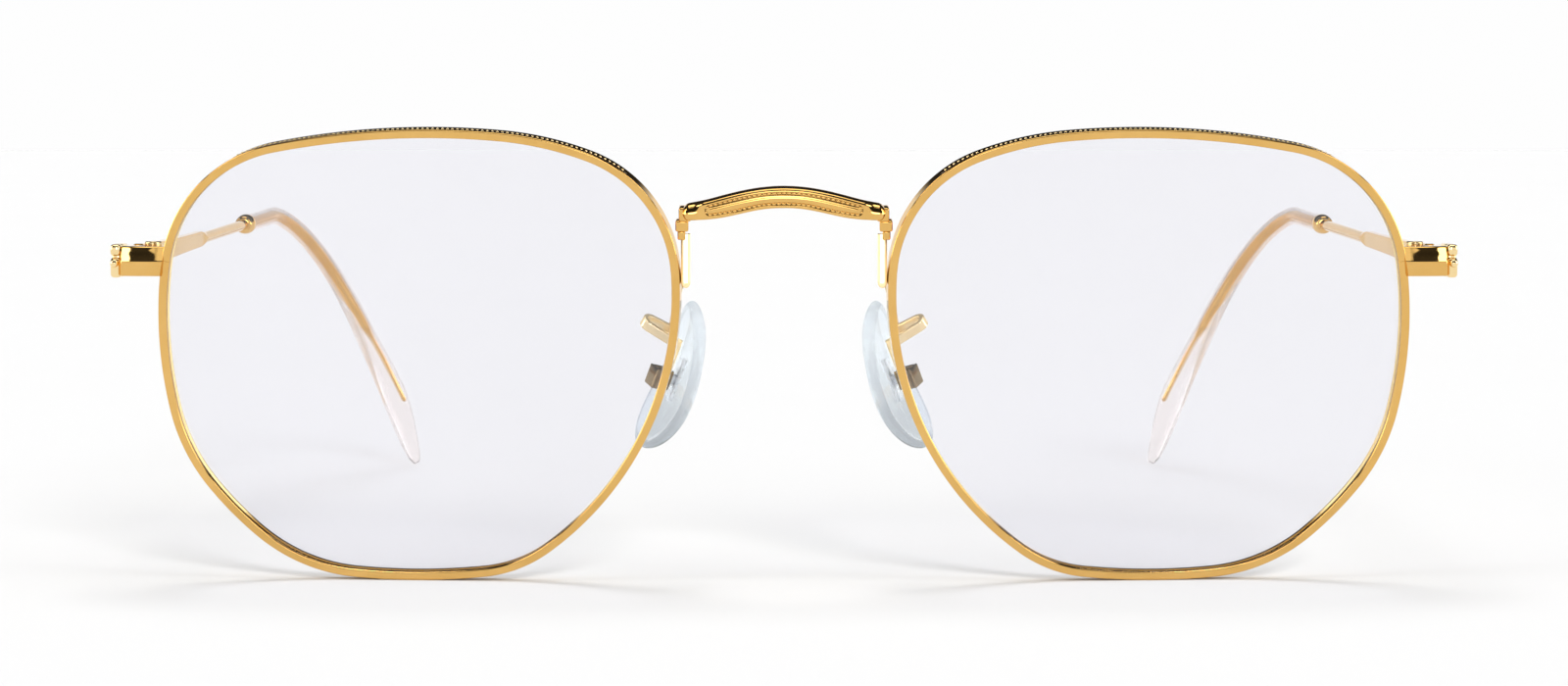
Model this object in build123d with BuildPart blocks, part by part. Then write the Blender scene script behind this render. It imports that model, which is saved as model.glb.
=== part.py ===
from build123d import *
from math import radians, sin, cos, acos
import os

os.makedirs("parts", exist_ok=True)

# ---------------------------------------------------------------------------
# Hexagonal full-rim eyeglasses, millimetres, +Z up, +X the wearer's left,
# -Y the way the wearer looks.  The glasses stand open on the two rim bottoms
# and the two temple tips, z = 0 being the surface they stand on.  "right" and
# "left" are the wearer's; every right-hand piece is built and mirrored in X.
# ---------------------------------------------------------------------------

# where the front stands
FRONT_Y = -64.47         # front face of the rims at the height of the hinges
HINGE_Z = 32.946         # height of the hinge line above the floor
FRONT_LEAN = 9.5         # the front leans forward at the top, degrees
RIM_WRAP = 4.0           # each rim plane turns back at the side, degrees
NASAL_X = 10.0           # half distance between the rim reference points

# rim wire and lens
RIM_FACE = 0.84          # width of the rim wire seen from the front
RIM_DEPTH = 2.1          # depth of the rim wire
RIM_EDGE = 0.12          # rounding of the rim wire's edges
GROOVE_DEEP = 0.26       # lens groove in the inner wall
GROOVE_FROM, GROOVE_TO = 0.60, 1.50
RIM_GAP = 0.10           # slit of the rim between the two closing blocks
RIM_SLIT_V = -0.62       # the slit's height in the rim plane, level with the hinge line
LENS_THICK = 1.30
LENS_RADIUS = 480.0      # front curve of the lens
LENS_APEX = -0.22        # lens front, ahead of the rim face at the middle
LENS_PLAY = 0.02

# outline of the rim wire's centre line: tangent arcs (radius, turn in degrees),
# anticlockwise from a point on the nasal side, u outwards and v up
OUTLINE_START = (0.939, -1.034)
OUTLINE_HEADING = -93.5065
OUTLINE = [
    (33.943, 56.421), (13.701, 30.221), (66.543, 11.413), (17.192, 36.581),
    (35.811, 10.834), (18.851, 26.508), (42.979, 20.629), (14.428, 69.332),
    (82.444, 15.961), (33.446, 15.808), (13.188, 66.292),
]

# bridge, in the leaning front plane: x and height over the hinge line
BRIDGE_AHEAD = 0.60      # bridge face ahead of the rim faces
BRIDGE_DEPTH = 1.90
BRIDGE_TOP = [(0, 7.65), (2.5, 7.48), (4.45, 7.12), (6.4, 6.63), (8.0, 6.21), (9.3, 5.95)]
BRIDGE_LOW = [(0, 5.61), (1.5, 5.55), (3.5, 5.22), (5.2, 4.83), (6.5, 4.58), (8.4, 4.40), (9.5, 4.36)]
BRIDGE_END = 10.15
INLAY_DEEP = 0.12

# endpiece, hinge and closing blocks (y counted from FRONT_Y, z from HINGE_Z)
LUG_Y = 3.35             # ridge of the endpiece
LUG_HALF = 1.50          # half height of the endpiece
LUG_OUT = 67.3           # outer face of the endpiece's side arm
LUG_THICK = 1.3
LUG_BACK = 9.0           # back end of the side arm, where the temple butts
HINGE_X, HINGE_Y = 64.75, 9.10
KNUCKLE_R = 1.0
PIN_R = 0.50
PIN_PLAY = 0.04
BLOCK_SCREW_R = 0.50

# temple: straight, then two arcs to the tip
TEMPLE_START = (-66.3, 5.0)
TEMPLE_HEAD, TEMPLE_RISE = 0.71, 1.44      # heading inwards and rise, degrees
STRAIGHT = 90.63
BEND_1 = (23.09, 12.92, -15.48)            # radius, heading and rise after it
BEND_2 = (36.83, 52.0, -67.34)
BUTT_AT = 4.18                             # temple bar starts here along the path
BAR_END = 41.0
WIRE_R = 0.62
CORE_R = 0.30
CORE_THICK_TO, CORE_THIN_TO = 126.2, 138.0
CORE_OFF = 1.45          # the thin end of the core runs near the rear edge of the tip
FERRULE_FROM, FERRULE_TO, FERRULE_R = 69.2, 72.4, 1.12
# tip sections: distance along the path, height across the ribbon, thickness,
# and how far the section stands off the path towards the rear edge
TIP_SECTIONS = [
    (72.4, 2.00, 2.00, 0.0), (84.0, 2.10, 2.05, 0.0), (95.0, 2.20, 2.05, 0.0), (104.0, 2.35, 2.00, 0.0),
    (112.0, 2.55, 1.95, -0.05), (120.0, 2.90, 1.90, -0.20), (126.5, 3.25, 1.85, -0.30), (132.0, 3.65, 1.80, 0.0),
    (136.5, 3.85, 1.75, 0.35), (140.0, 3.55, 1.65, 0.25), (143.0, 2.80, 1.50, 0.05), (145.5, 1.90, 1.20, -0.05),
    (146.72, 1.00, 0.80, -0.02),
]

# nose pads
PAD_CENTRE = (-10.75, 10.2, 20.72)         # x, y from FRONT_Y, z above the floor
PAD_SPLAY = 26.0                           # face turned back, degrees
PAD_LEN, PAD_WIDE, PAD_THICK = 16.2, 7.8, 1.5
PAD_BEND = 22.0                            # radius of the pad's bend along its length
PAD_TILT_X, PAD_TILT_Y = -5.64, 2.3        # top to bottom run of the long axis
PAD_TILT_Z = -15.0
PIVOT_N, PIVOT_K = -2.3, -0.4              # pad screw, off the pad's mid surface and along it
ARM_HIGH, ARM_THICK = 1.05, 0.50           # flat strip of the pad arm
SCREW_R = 0.30


# --- frames and small helpers ------------------------------------------------
lean = radians(FRONT_LEAN)
wrap = radians(RIM_WRAP)
X = Vector(1, 0, 0)
UP = Vector(0, -sin(lean), cos(lean))            # up along the front
BACK = Vector(0, cos(lean), sin(lean))           # straight back from the front
OUT_R = X * -cos(wrap) + BACK * sin(wrap)        # outwards along the right rim
BACK_R = X * sin(wrap) + BACK * cos(wrap)

rim_plane = Plane(origin=(-NASAL_X, FRONT_Y, HINGE_Z), x_dir=OUT_R, z_dir=BACK_R)
front_plane = Plane(origin=(0, FRONT_Y, HINGE_Z), x_dir=X, z_dir=BACK * -1)


def outline_arcs(grow):
    """Start, middle and end of each arc of the outline, moved out by grow."""
    px, py = OUTLINE_START
    h = radians(OUTLINE_HEADING)
    arcs = []
    for r, turn in OUTLINE:
        a = radians(turn)
        cx, cy = px - r * sin(h), py + r * cos(h)
        pts = [(cx + (r + grow) * sin(h + a * k), cy - (r + grow) * cos(h + a * k)) for k in (0, 0.5, 1)]
        arcs.append(pts)
        px, py, h = cx + r * sin(h + a), cy - r * cos(h + a), h + a
    arcs[-1][2] = arcs[0][0]
    for i in range(1, len(arcs)):
        arcs[i][0] = arcs[i - 1][2]
    return arcs


def draw_outline(grow):
    for a, m, b in outline_arcs(grow):
        ThreePointArc(a, m, b)


half = RIM_FACE / 2

# --- rim: closed wire with a lens groove, slit at the temporal side ----------
with BuildPart() as rim_right:
    with BuildSketch(rim_plane):
        with BuildLine():
            draw_outline(half)
        make_face()
        with BuildLine():
            draw_outline(-half)
        make_face(mode=Mode.SUBTRACT)
    extrude(amount=RIM_DEPTH)
    chamfer(rim_right.edges().filter_by(lambda e: e.length > 4), RIM_EDGE)
    with BuildSketch(rim_plane.offset(GROOVE_FROM)):
        with BuildLine():
            draw_outline(-half + GROOVE_DEEP)
        make_face()
        with BuildLine():
            draw_outline(-half - 0.5)
        make_face(mode=Mode.SUBTRACT)
    extrude(amount=GROOVE_TO - GROOVE_FROM, mode=Mode.SUBTRACT)
    # raised band for the fine beading over the top of the rim
    with BuildSketch(rim_plane.offset(0.45)):
        with BuildLine():
            draw_outline(half + 0.10)
        make_face()
        with BuildLine():
            draw_outline(half - 0.05)
        make_face(mode=Mode.SUBTRACT)
        with BuildLine():
            Polyline((4.66, 8.5), (45.7, 10.4), (45.7, 20), (4.66, 20), close=True)
        make_face(mode=Mode.INTERSECT)
    extrude(amount=1.2)
    with BuildSketch(rim_plane.offset(-1)):
        with Locations((53.0, RIM_SLIT_V)):
            Rectangle(4, RIM_GAP)
    extrude(amount=RIM_DEPTH + 2, mode=Mode.SUBTRACT)
rim_right.part.label = "rim_right"

# full outside of the rim, used to bed other pieces against the wire
with BuildPart() as rim_envelope:
    with BuildSketch(rim_plane.offset(-4)):
        with BuildLine():
            draw_outline(half)
        make_face()
    extrude(amount=14)

# --- lens: thin domed disc with a bevel in the groove ------------------------
centre_u, centre_v = 27.07, -10.31
with BuildPart() as lens_right:
    with BuildSketch(rim_plane.offset(-3)):
        with BuildLine():
            draw_outline(-half - LENS_PLAY)
        make_face()
    extrude(amount=8)
    with Locations(rim_plane.offset(LENS_APEX + LENS_RADIUS)):
        with Locations((centre_u, centre_v)):
            Sphere(LENS_RADIUS, mode=Mode.INTERSECT)
    with Locations(rim_plane.offset(LENS_APEX + LENS_THICK + LENS_RADIUS - 0.01)):
        with Locations((centre_u, centre_v)):
            Sphere(LENS_RADIUS, mode=Mode.SUBTRACT)
    with BuildSketch(rim_plane.offset(GROOVE_FROM + 0.08)):
        with BuildLine():
            draw_outline(-half + GROOVE_DEEP - LENS_PLAY)
        make_face()
        with BuildLine():
            draw_outline(-half - 0.7)
        make_face(mode=Mode.SUBTRACT)
    extrude(amount=GROOVE_TO - GROOVE_FROM - 0.16)
lens_right.part.label = "lens_right"

# --- bridge: arched bar with an inlay channel, turned-back lug at each end ---
with BuildPart() as bridge:
    with BuildSketch(front_plane.offset(BRIDGE_AHEAD)):
        with BuildLine():
            upper = [(-x, y) for x, y in reversed(BRIDGE_TOP[1:])] + BRIDGE_TOP
            lower = [(-x, y) for x, y in reversed(BRIDGE_LOW[1:])] + BRIDGE_LOW
            Spline(*upper)
            Spline(*lower)
            for s in (-1, 1):
                tip = (s * BRIDGE_END, 5.15)
                ThreePointArc((s * BRIDGE_TOP[-1][0], BRIDGE_TOP[-1][1]), (s * 9.93, 5.68), tip)
                ThreePointArc(tip, (s * 9.99, 4.63), (s * BRIDGE_LOW[-1][0], BRIDGE_LOW[-1][1]))
        make_face()
    extrude(amount=-BRIDGE_DEPTH)
    fillet(bridge.faces().sort_by(Axis(front_plane.origin, front_plane.z_dir))[-1].edges(), 0.28)
    # stadium-shaped channel that holds the beads
    with BuildSketch(front_plane.offset(BRIDGE_AHEAD)):
        with BuildLine():
            chan_u = [(-7.3, 6.02), (-5.0, 6.63), (-2.5, 7.12), (0, 7.27), (2.5, 7.12), (5.0, 6.63), (7.3, 6.02)]
            chan_l = [(-7.3, 4.86), (-5.0, 5.22), (-2.5, 5.78), (0, 5.97), (2.5, 5.78), (5.0, 5.22), (7.3, 4.86)]
            Spline(*chan_u)
            Spline(*chan_l)
            for s in (-1, 1):
                ThreePointArc((s * 7.3, 6.02), (s * 7.95, 5.40), (s * 7.3, 4.86))
        make_face()
    extrude(amount=-INLAY_DEEP, mode=Mode.SUBTRACT)
    # turned-back lugs
    with BuildSketch(front_plane.offset(BRIDGE_AHEAD - BRIDGE_DEPTH + 0.9)):
        for s in (-1, 1):
            with Locations((s * 9.75, 4.95)):
                RectangleRounded(1.35, 1.55, 0.3)
    extrude(amount=-2.6)
    with BuildSketch(front_plane.offset(-0.75)):
        for s in (-1, 1):
            with Locations((s * 10.45, 3.45)):
                RectangleRounded(1.9, 1.7, 0.3)
    extrude(amount=-1.45)
    add(rim_envelope.part, mode=Mode.SUBTRACT)
    add(mirror(rim_envelope.part, about=Plane.YZ, mode=Mode.PRIVATE), mode=Mode.SUBTRACT)
bridge.part.label = "bridge"

# --- endpiece: two-facet lug from the rim, round the corner, straight back ---
with BuildPart() as endpiece_right:
    with BuildSketch(Plane.XY.offset(HINGE_Z - LUG_HALF)):
        with BuildLine():
            y0 = FRONT_Y + LUG_Y
            Polyline((-62.6, y0), (-64.2, y0), (-65.2, y0 + 0.05), (-66.0, y0 + 0.16), (-66.55, y0 + 0.29),
                     (-66.95, y0 + 0.44), (-67.2, y0 + 0.58), (-LUG_OUT, y0 + 0.80), (-LUG_OUT, FRONT_Y + LUG_BACK),
                     (-LUG_OUT + LUG_THICK, FRONT_Y + LUG_BACK), (-LUG_OUT + LUG_THICK, y0 + 1.2),
                     (-62.6, y0 + 1.2), close=True)
        make_face()
    extrude(amount=2 * LUG_HALF)
    # upper facet: leans back from the ridge at mid height
    with BuildSketch(Plane.YZ.offset(-70)):
        with BuildLine():
            Polyline((y0 - 1.0, HINGE_Z), (y0 - 0.05, HINGE_Z), (y0 + 0.70, HINGE_Z + LUG_HALF + 0.01),
                     (y0 - 1.0, HINGE_Z + LUG_HALF + 0.01), close=True)
        make_face()
    extrude(amount=8, mode=Mode.SUBTRACT)
    add(rim_envelope.part, mode=Mode.SUBTRACT)
endpiece_right.part.label = "endpiece_right"

# side plate of the endpiece, seen edge-on from the front, with its slit
plate_y0, plate_y1 = FRONT_Y + 4.45, FRONT_Y + LUG_BACK
with BuildPart() as endpiece_plate_right:
    with BuildSketch(Plane.YZ.offset(-LUG_OUT)):
        with Locations(((plate_y0 + plate_y1) / 2, HINGE_Z)):
            RectangleRounded(plate_y1 - plate_y0, 3.4, 0.7)
    extrude(amount=-1.05)
    fillet(endpiece_plate_right.faces().sort_by(Axis.X)[0].edges(), 0.35)
    with Locations((-LUG_OUT - 0.55, plate_y0 + 0.2, HINGE_Z + 0.42)):
        Box(1.5, 0.8, 0.16, mode=Mode.SUBTRACT)
    with Locations((-LUG_OUT - 0.62, plate_y0 + 0.15, HINGE_Z - 0.22)):
        Sphere(0.47, mode=Mode.SUBTRACT)
endpiece_plate_right.part.label = "endpiece_plate_right"

# round stud set in the front edge of the plate
with BuildPart() as endpiece_stud_right:
    with Locations((-LUG_OUT - 0.62, plate_y0 + 0.15, HINGE_Z - 0.22)):
        Sphere(0.46)
endpiece_stud_right.part.label = "endpiece_stud_right"

# --- closing blocks and their screw -----------------------------------------
block_y0, block_y1 = FRONT_Y + LUG_Y + 1.2, FRONT_Y + 6.5
for_blocks = (("upper", HINGE_Z + RIM_GAP / 2, HINGE_Z + LUG_HALF), ("lower", HINGE_Z - LUG_HALF, HINGE_Z - RIM_GAP / 2))
screw_x, screw_y = -64.75, FRONT_Y + 5.55
with BuildPart() as closing_block_upper_right:
    with BuildSketch(Plane.XY.offset(for_blocks[0][1])):
        with Locations(((-62.6 - 65.75) / 2, (block_y0 + block_y1) / 2)):
            Rectangle(65.75 - 62.6, block_y1 - block_y0)
        with Locations((screw_x, screw_y)):
            Circle(BLOCK_SCREW_R, mode=Mode.SUBTRACT)
    extrude(amount=for_blocks[0][2] - for_blocks[0][1])
    add(rim_envelope.part, mode=Mode.SUBTRACT)
closing_block_upper_right.part.label = "closing_block_upper_right"

with BuildPart() as closing_block_lower_right:
    with BuildSketch(Plane.XY.offset(for_blocks[1][1])):
        with Locations(((-62.6 - 65.75) / 2, (block_y0 + block_y1) / 2)):
            Rectangle(65.75 - 62.6, block_y1 - block_y0)
        with Locations((screw_x, screw_y)):
            Circle(BLOCK_SCREW_R, mode=Mode.SUBTRACT)
    extrude(amount=for_blocks[1][2] - for_blocks[1][1])
    with BuildSketch(Plane.XY.offset(for_blocks[1][1])):
        with Locations((screw_x, screw_y)):
            Circle(0.80)
    extrude(amount=0.45, mode=Mode.SUBTRACT)
    add(rim_envelope.part, mode=Mode.SUBTRACT)
closing_block_lower_right.part.label = "closing_block_lower_right"

with BuildPart() as rim_screw_right:
    with BuildSketch(Plane.XY.offset(HINGE_Z - LUG_HALF + 0.40)):
        with Locations((screw_x, screw_y)):
            Circle(BLOCK_SCREW_R)
    extrude(amount=2 * LUG_HALF - 0.5)
    with BuildSketch(Plane.XY.offset(HINGE_Z - LUG_HALF + 0.05)):
        with Locations((screw_x, screw_y)):
            Circle(0.76)
    extrude(amount=0.40)
    with Locations((screw_x, screw_y, HINGE_Z - LUG_HALF + 0.10)):
        Box(2.0, 0.22, 0.24, mode=Mode.SUBTRACT)
rim_screw_right.part.label = "rim_screw_right"

# --- hinge: two knuckles on the endpiece, one on the temple, vertical pin ----
hx, hy = -HINGE_X, FRONT_Y + HINGE_Y
K_GAP = 0.06
k_low, k_high = HINGE_Z - LUG_HALF, HINGE_Z + LUG_HALF
k1, k2 = HINGE_Z - 0.5, HINGE_Z + 0.5
with BuildPart() as hinge_front_right:
    for z0, z1 in ((k_low, k1 - K_GAP), (k2 + K_GAP, k_high)):
        with BuildSketch(Plane.XY.offset(z0)):
            with Locations((hx, hy)):
                Circle(KNUCKLE_R)
            with Locations(((-66.0 + hx) / 2, FRONT_Y + 8.45)):
                Rectangle(66.0 - HINGE_X, 1.1)
            with Locations((hx, hy)):
                Circle(PIN_R, mode=Mode.SUBTRACT)
        extrude(amount=z1 - z0)
    # leaf that joins the two knuckles and lies on the side arm
    with BuildSketch(Plane.XY.offset(k_low)):
        with Locations((-65.78, FRONT_Y + 7.55)):
            Rectangle(0.44, 1.7)
    extrude(amount=k_high - k_low)
hinge_front_right.part.label = "hinge_front_right"

temple_dir = Vector(sin(radians(TEMPLE_HEAD)) * cos(radians(TEMPLE_RISE)),
                    cos(radians(TEMPLE_HEAD)) * cos(radians(TEMPLE_RISE)), sin(radians(TEMPLE_RISE)))
temple_origin = Vector(TEMPLE_START[0], FRONT_Y + TEMPLE_START[1], HINGE_Z)
inward = temple_dir.cross(Vector(0, 0, 1)).normalized()
temple_plane = Plane(origin=temple_origin, x_dir=temple_dir, z_dir=inward)

with BuildPart() as hinge_temple_right:
    with BuildSketch(Plane.XY.offset(k1)):
        with Locations((hx, hy)):
            Circle(KNUCKLE_R)
        with BuildLine():
            Polyline((hx, hy + 0.12), (hx, hy + KNUCKLE_R), (hx - 0.4, hy + 2.6), (hx - 1.6, hy + 2.6),
                     (hx - 1.6, hy + 0.12), close=True)
        make_face()
        with Locations((hx, hy)):
            Circle(PIN_R + PIN_PLAY, mode=Mode.SUBTRACT)
    extrude(amount=k2 - k1)
    # bedded on the inner face of the temple bar
    with BuildSketch(temple_plane.offset(-3)):
        with Locations((8, 0)):
            Rectangle(16, 10)
    extrude(amount=3.4, mode=Mode.SUBTRACT)
hinge_temple_right.part.label = "hinge_temple_right"

with BuildPart() as hinge_screw_right:
    with BuildSketch(Plane.XY.offset(k_low)):
        with Locations((hx, hy)):
            Circle(PIN_R)
    extrude(amount=k_high - k_low)
    with BuildSketch(Plane.XY.offset(k_high)):
        with Locations((hx, hy)):
            Circle(0.85)
    extrude(amount=0.35)
    fillet(hinge_screw_right.faces().sort_by(Axis.Z)[-1].edges(), 0.15)
    with Locations((hx, hy, k_high + 0.3)):
        Box(2.0, 0.22, 0.2, mode=Mode.SUBTRACT)
hinge_screw_right.part.label = "hinge_screw_right"


# --- temple path ------------------------------------------------------------
def heading(h, a):
    h, a = radians(h), radians(a)
    return Vector(sin(h) * cos(a), cos(h) * cos(a), sin(a))


def bend(p, d0, d1, r):
    """Arc from p, turning from direction d0 to d1: centre, unit to centre, turn."""
    turn = acos(max(-1, min(1, d0.dot(d1))))
    e = (d1 - d0 * d0.dot(d1)).normalized()
    return p + e * r, e, turn


d0 = temple_dir
d1 = heading(BEND_1[1], BEND_1[2])
d2 = heading(BEND_2[1], BEND_2[2])
p1 = temple_origin + d0 * STRAIGHT
c1, e1, t1 = bend(p1, d0, d1, BEND_1[0])


def arc_at(c, e, d, r, a):
    return c + (e * -cos(a) + d * sin(a)) * r


p2 = arc_at(c1, e1, d0, BEND_1[0], t1)
c2, e2, t2 = bend(p2, d1, d2, BEND_2[0])
p3 = arc_at(c2, e2, d1, BEND_2[0], t2)
s1, s2 = STRAIGHT, STRAIGHT + BEND_1[0] * t1
s3 = s2 + BEND_2[0] * t2


def on_path(s):
    """Point and direction at distance s along the temple path."""
    if s <= s1:
        return temple_origin + d0 * s, d0
    if s <= s2:
        a = (s - s1) / BEND_1[0]
        return arc_at(c1, e1, d0, BEND_1[0], a), d0 * cos(a) + e1 * sin(a)
    if s <= s3:
        a = (s - s2) / BEND_2[0]
        return arc_at(c2, e2, d1, BEND_2[0], a), d1 * cos(a) + e2 * sin(a)
    return p3 + d2 * (s - s3), d2


def beside_path(s, off):
    """Point beside the temple path, moved by off towards the rear edge of the tip."""
    p, d = on_path(s)
    thin = d.cross(Vector(0, 0, 1)).normalized()
    return p + thin.cross(d).normalized() * off


def path_lines(a, b):
    """The temple path from distance a to b, as a line and tangent arcs."""
    cuts = [a] + [s for s in (s1, s2, s3) if a < s < b] + [b]
    for lo, hi in zip(cuts, cuts[1:]):
        if lo >= s1 - 1e-6 and hi <= s3 + 1e-6:
            ThreePointArc(on_path(lo)[0], on_path((lo + hi) / 2)[0], on_path(hi)[0])
        else:
            Line(on_path(lo)[0], on_path(hi)[0])


# --- temple: flat bar at the hinge, then a wire that runs on inside the tip --
BAR = [(BUTT_AT, 1.50), (12.0, 1.18), (25.0, 0.97), (BAR_END - 1.5, 0.87), (BAR_END + 1.0, 0.60)]
with BuildPart() as temple_right:
    with BuildSketch(temple_plane.offset(-0.6)):
        with BuildLine():
            Polyline(*([(s, h) for s, h in BAR] + [(s, -h) for s, h in reversed(BAR)]), close=True)
        make_face()
    extrude(amount=1.0)
    chamfer(temple_right.edges().filter_by(lambda e: e.length > 6), 0.18)
    with BuildLine() as wire_path:
        path_lines(BAR_END - 1.0, CORE_THICK_TO)
    with BuildSketch(Plane(origin=on_path(BAR_END - 1.0)[0], z_dir=d0)):
        Circle(WIRE_R)
    sweep(path=wire_path.line)
    core_a = beside_path(CORE_THICK_TO - 0.8, 0.25)
    core_b = beside_path(CORE_THIN_TO, CORE_OFF)
    with BuildSketch(Plane(origin=core_a, z_dir=(core_b - core_a).normalized())):
        Circle(CORE_R)
    extrude(amount=(core_b - core_a).length)
temple_right.part.label = "temple_right"

# --- ferrule: round collar where the clear tip starts ------------------------
with BuildPart() as ferrule_right:
    with BuildSketch(temple_plane):
        with BuildLine():
            a, b, r = FERRULE_FROM, FERRULE_TO, FERRULE_R
            Polyline((a, WIRE_R), (a, r - 0.2), (a + 0.2, r - 0.05), (a + 0.5, r - 0.05), (a + 0.62, r - 0.22))
            ThreePointArc((a + 0.62, r - 0.22), ((a + b + 0.62) / 2, r + 0.08), (b, r - 0.14))
            Polyline((b, r - 0.14), (b, WIRE_R), (a, WIRE_R))
        make_face()
    revolve(axis=Axis(temple_origin, temple_dir))
ferrule_right.part.label = "ferrule_right"

# --- clear tip sleeve around the wire ---------------------------------------
def tip_size(s):
    """Height, thickness and stand-off of the sleeve at distance s."""
    for (sa, *a), (sb, *b) in zip(TIP_SECTIONS, TIP_SECTIONS[1:]):
        if s <= sb:
            f = (s - sa) / (sb - sa)
            return [p + (q - p) * f for p, q in zip(a, b)]
    return TIP_SECTIONS[-1][1:]


straight_stations = [TIP_SECTIONS[0][0], s1]
bent_stations = [s1, 94.5, 98.5, 102.5, 106.5, 110.5, 114.5, 118.5, 122.5, 126.5, 130.5, 134.5,
                 138.5, 142.0, 144.5, 146.0, TIP_SECTIONS[-1][0]]
with BuildPart() as temple_tip_right:
    for stations in (straight_stations, bent_stations):
        for s in stations:
            p, d = on_path(s)
            w, t, off = tip_size(s)
            thin = d.cross(Vector(0, 0, 1)).normalized()
            with BuildSketch(Plane(origin=beside_path(s, off), x_dir=thin, z_dir=d)):
                Ellipse(t / 2, w / 2)
        loft(ruled=len(stations) == 2)
    add(temple_right.part, mode=Mode.SUBTRACT)
temple_tip_right.part.label = "temple_tip_right"

# --- nose pad and its mounting ----------------------------------------------
pad_c = Vector(PAD_CENTRE[0], FRONT_Y + PAD_CENTRE[1], PAD_CENTRE[2])
pad_down = Vector(PAD_TILT_X, PAD_TILT_Y, PAD_TILT_Z).normalized()
face_wish = Vector(cos(radians(PAD_SPLAY)), sin(radians(PAD_SPLAY)), 0)
pad_face = (face_wish - pad_down * face_wish.dot(pad_down)).normalized()   # towards the nose
pad_rear = pad_face.cross(pad_down).normalized()
if pad_rear.Y < 0:
    pad_rear = pad_rear * -1
pad_plane = Plane(origin=pad_c, x_dir=pad_rear, z_dir=pad_face)
pad_up_sign = 1 if pad_plane.y_dir.Z > 0 else -1

L2, W2, T2 = PAD_LEN / 2, PAD_WIDE / 2, PAD_THICK / 2
k = pad_up_sign
# drop outline: narrow at the top, full below
DROP = [(0.25, L2), (-1.9, L2 - 1.4), (-2.95, L2 - 5.0), (-W2, -L2 + 5.2), (-2.6, -L2 + 1.3), (0.1, -L2),
        (2.75, -L2 + 1.2), (W2, -L2 + 4.6), (3.0, L2 - 5.4), (2.1, L2 - 1.5)]
with BuildPart() as nose_pad_right:
    with BuildSketch(pad_plane.offset(-4)):
        with BuildLine():
            Spline(*[(x, y * k) for x, y in DROP], periodic=True)
        make_face()
    extrude(amount=8)
    with Locations(pad_plane.offset(-PAD_BEND)):
        Cylinder(PAD_BEND + T2, 20, rotation=(0, 90, 0), mode=Mode.INTERSECT)
        Cylinder(PAD_BEND - T2, 20, rotation=(0, 90, 0), mode=Mode.SUBTRACT)
    fillet(nose_pad_right.edges().filter_by(lambda e: e.length > 20), 0.5)
    with Locations(pad_plane):
        with Locations((0, PIVOT_K * k, -0.15)):
            Box(0.8, 4.8, 0.16, mode=Mode.SUBTRACT)
        with Locations((0, PIVOT_K * k, -0.75)):
            Box(0.4, 1.0, 1.1, mode=Mode.SUBTRACT)
nose_pad_right.part.label = "nose_pad_right"

with BuildPart() as pad_insert_right:
    with Locations(pad_plane):
        with Locations((0, PIVOT_K * k, -0.15)):
            Box(0.8, 4.8, 0.16)
        with Locations((0, PIVOT_K * k, (PIVOT_N - 0.1) / 2)):
            Box(0.4, 1.0, -0.1 - PIVOT_N)
        with Locations((0, PIVOT_K * k, PIVOT_N)):
            Cylinder(0.50, 0.4, rotation=(0, 90, 0))
            Cylinder(SCREW_R + 0.05, 2, rotation=(0, 90, 0), mode=Mode.SUBTRACT)
pad_insert_right.part.label = "pad_insert_right"

# clip on the arm: two walls and an outer plate
with BuildPart() as pad_box_right:
    with Locations(pad_plane):
        for s in (-1, 1):
            with Locations((s * 0.66, PIVOT_K * k, -2.14)):
                Box(0.6, 2.1, 1.72)
        with Locations((0, PIVOT_K * k, -3.14)):
            Box(1.92, 2.1, 0.28)
        with Locations((0, PIVOT_K * k, PIVOT_N)):
            Cylinder(SCREW_R, 4, rotation=(0, 90, 0), mode=Mode.SUBTRACT)
pad_box_right.part.label = "pad_box_right"

with BuildPart() as pad_screw_right:
    with Locations(pad_plane):
        with Locations((0, PIVOT_K * k, PIVOT_N)):
            Cylinder(SCREW_R, 1.92, rotation=(0, 90, 0))
        with Locations((-1.13, PIVOT_K * k, PIVOT_N)):
            Cylinder(0.48, 0.34, rotation=(0, 90, 0))
        with Locations((-1.30, PIVOT_K * k, PIVOT_N)):
            Box(0.24, 1.4, 0.16, mode=Mode.SUBTRACT)
pad_screw_right.part.label = "pad_screw_right"

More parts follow.
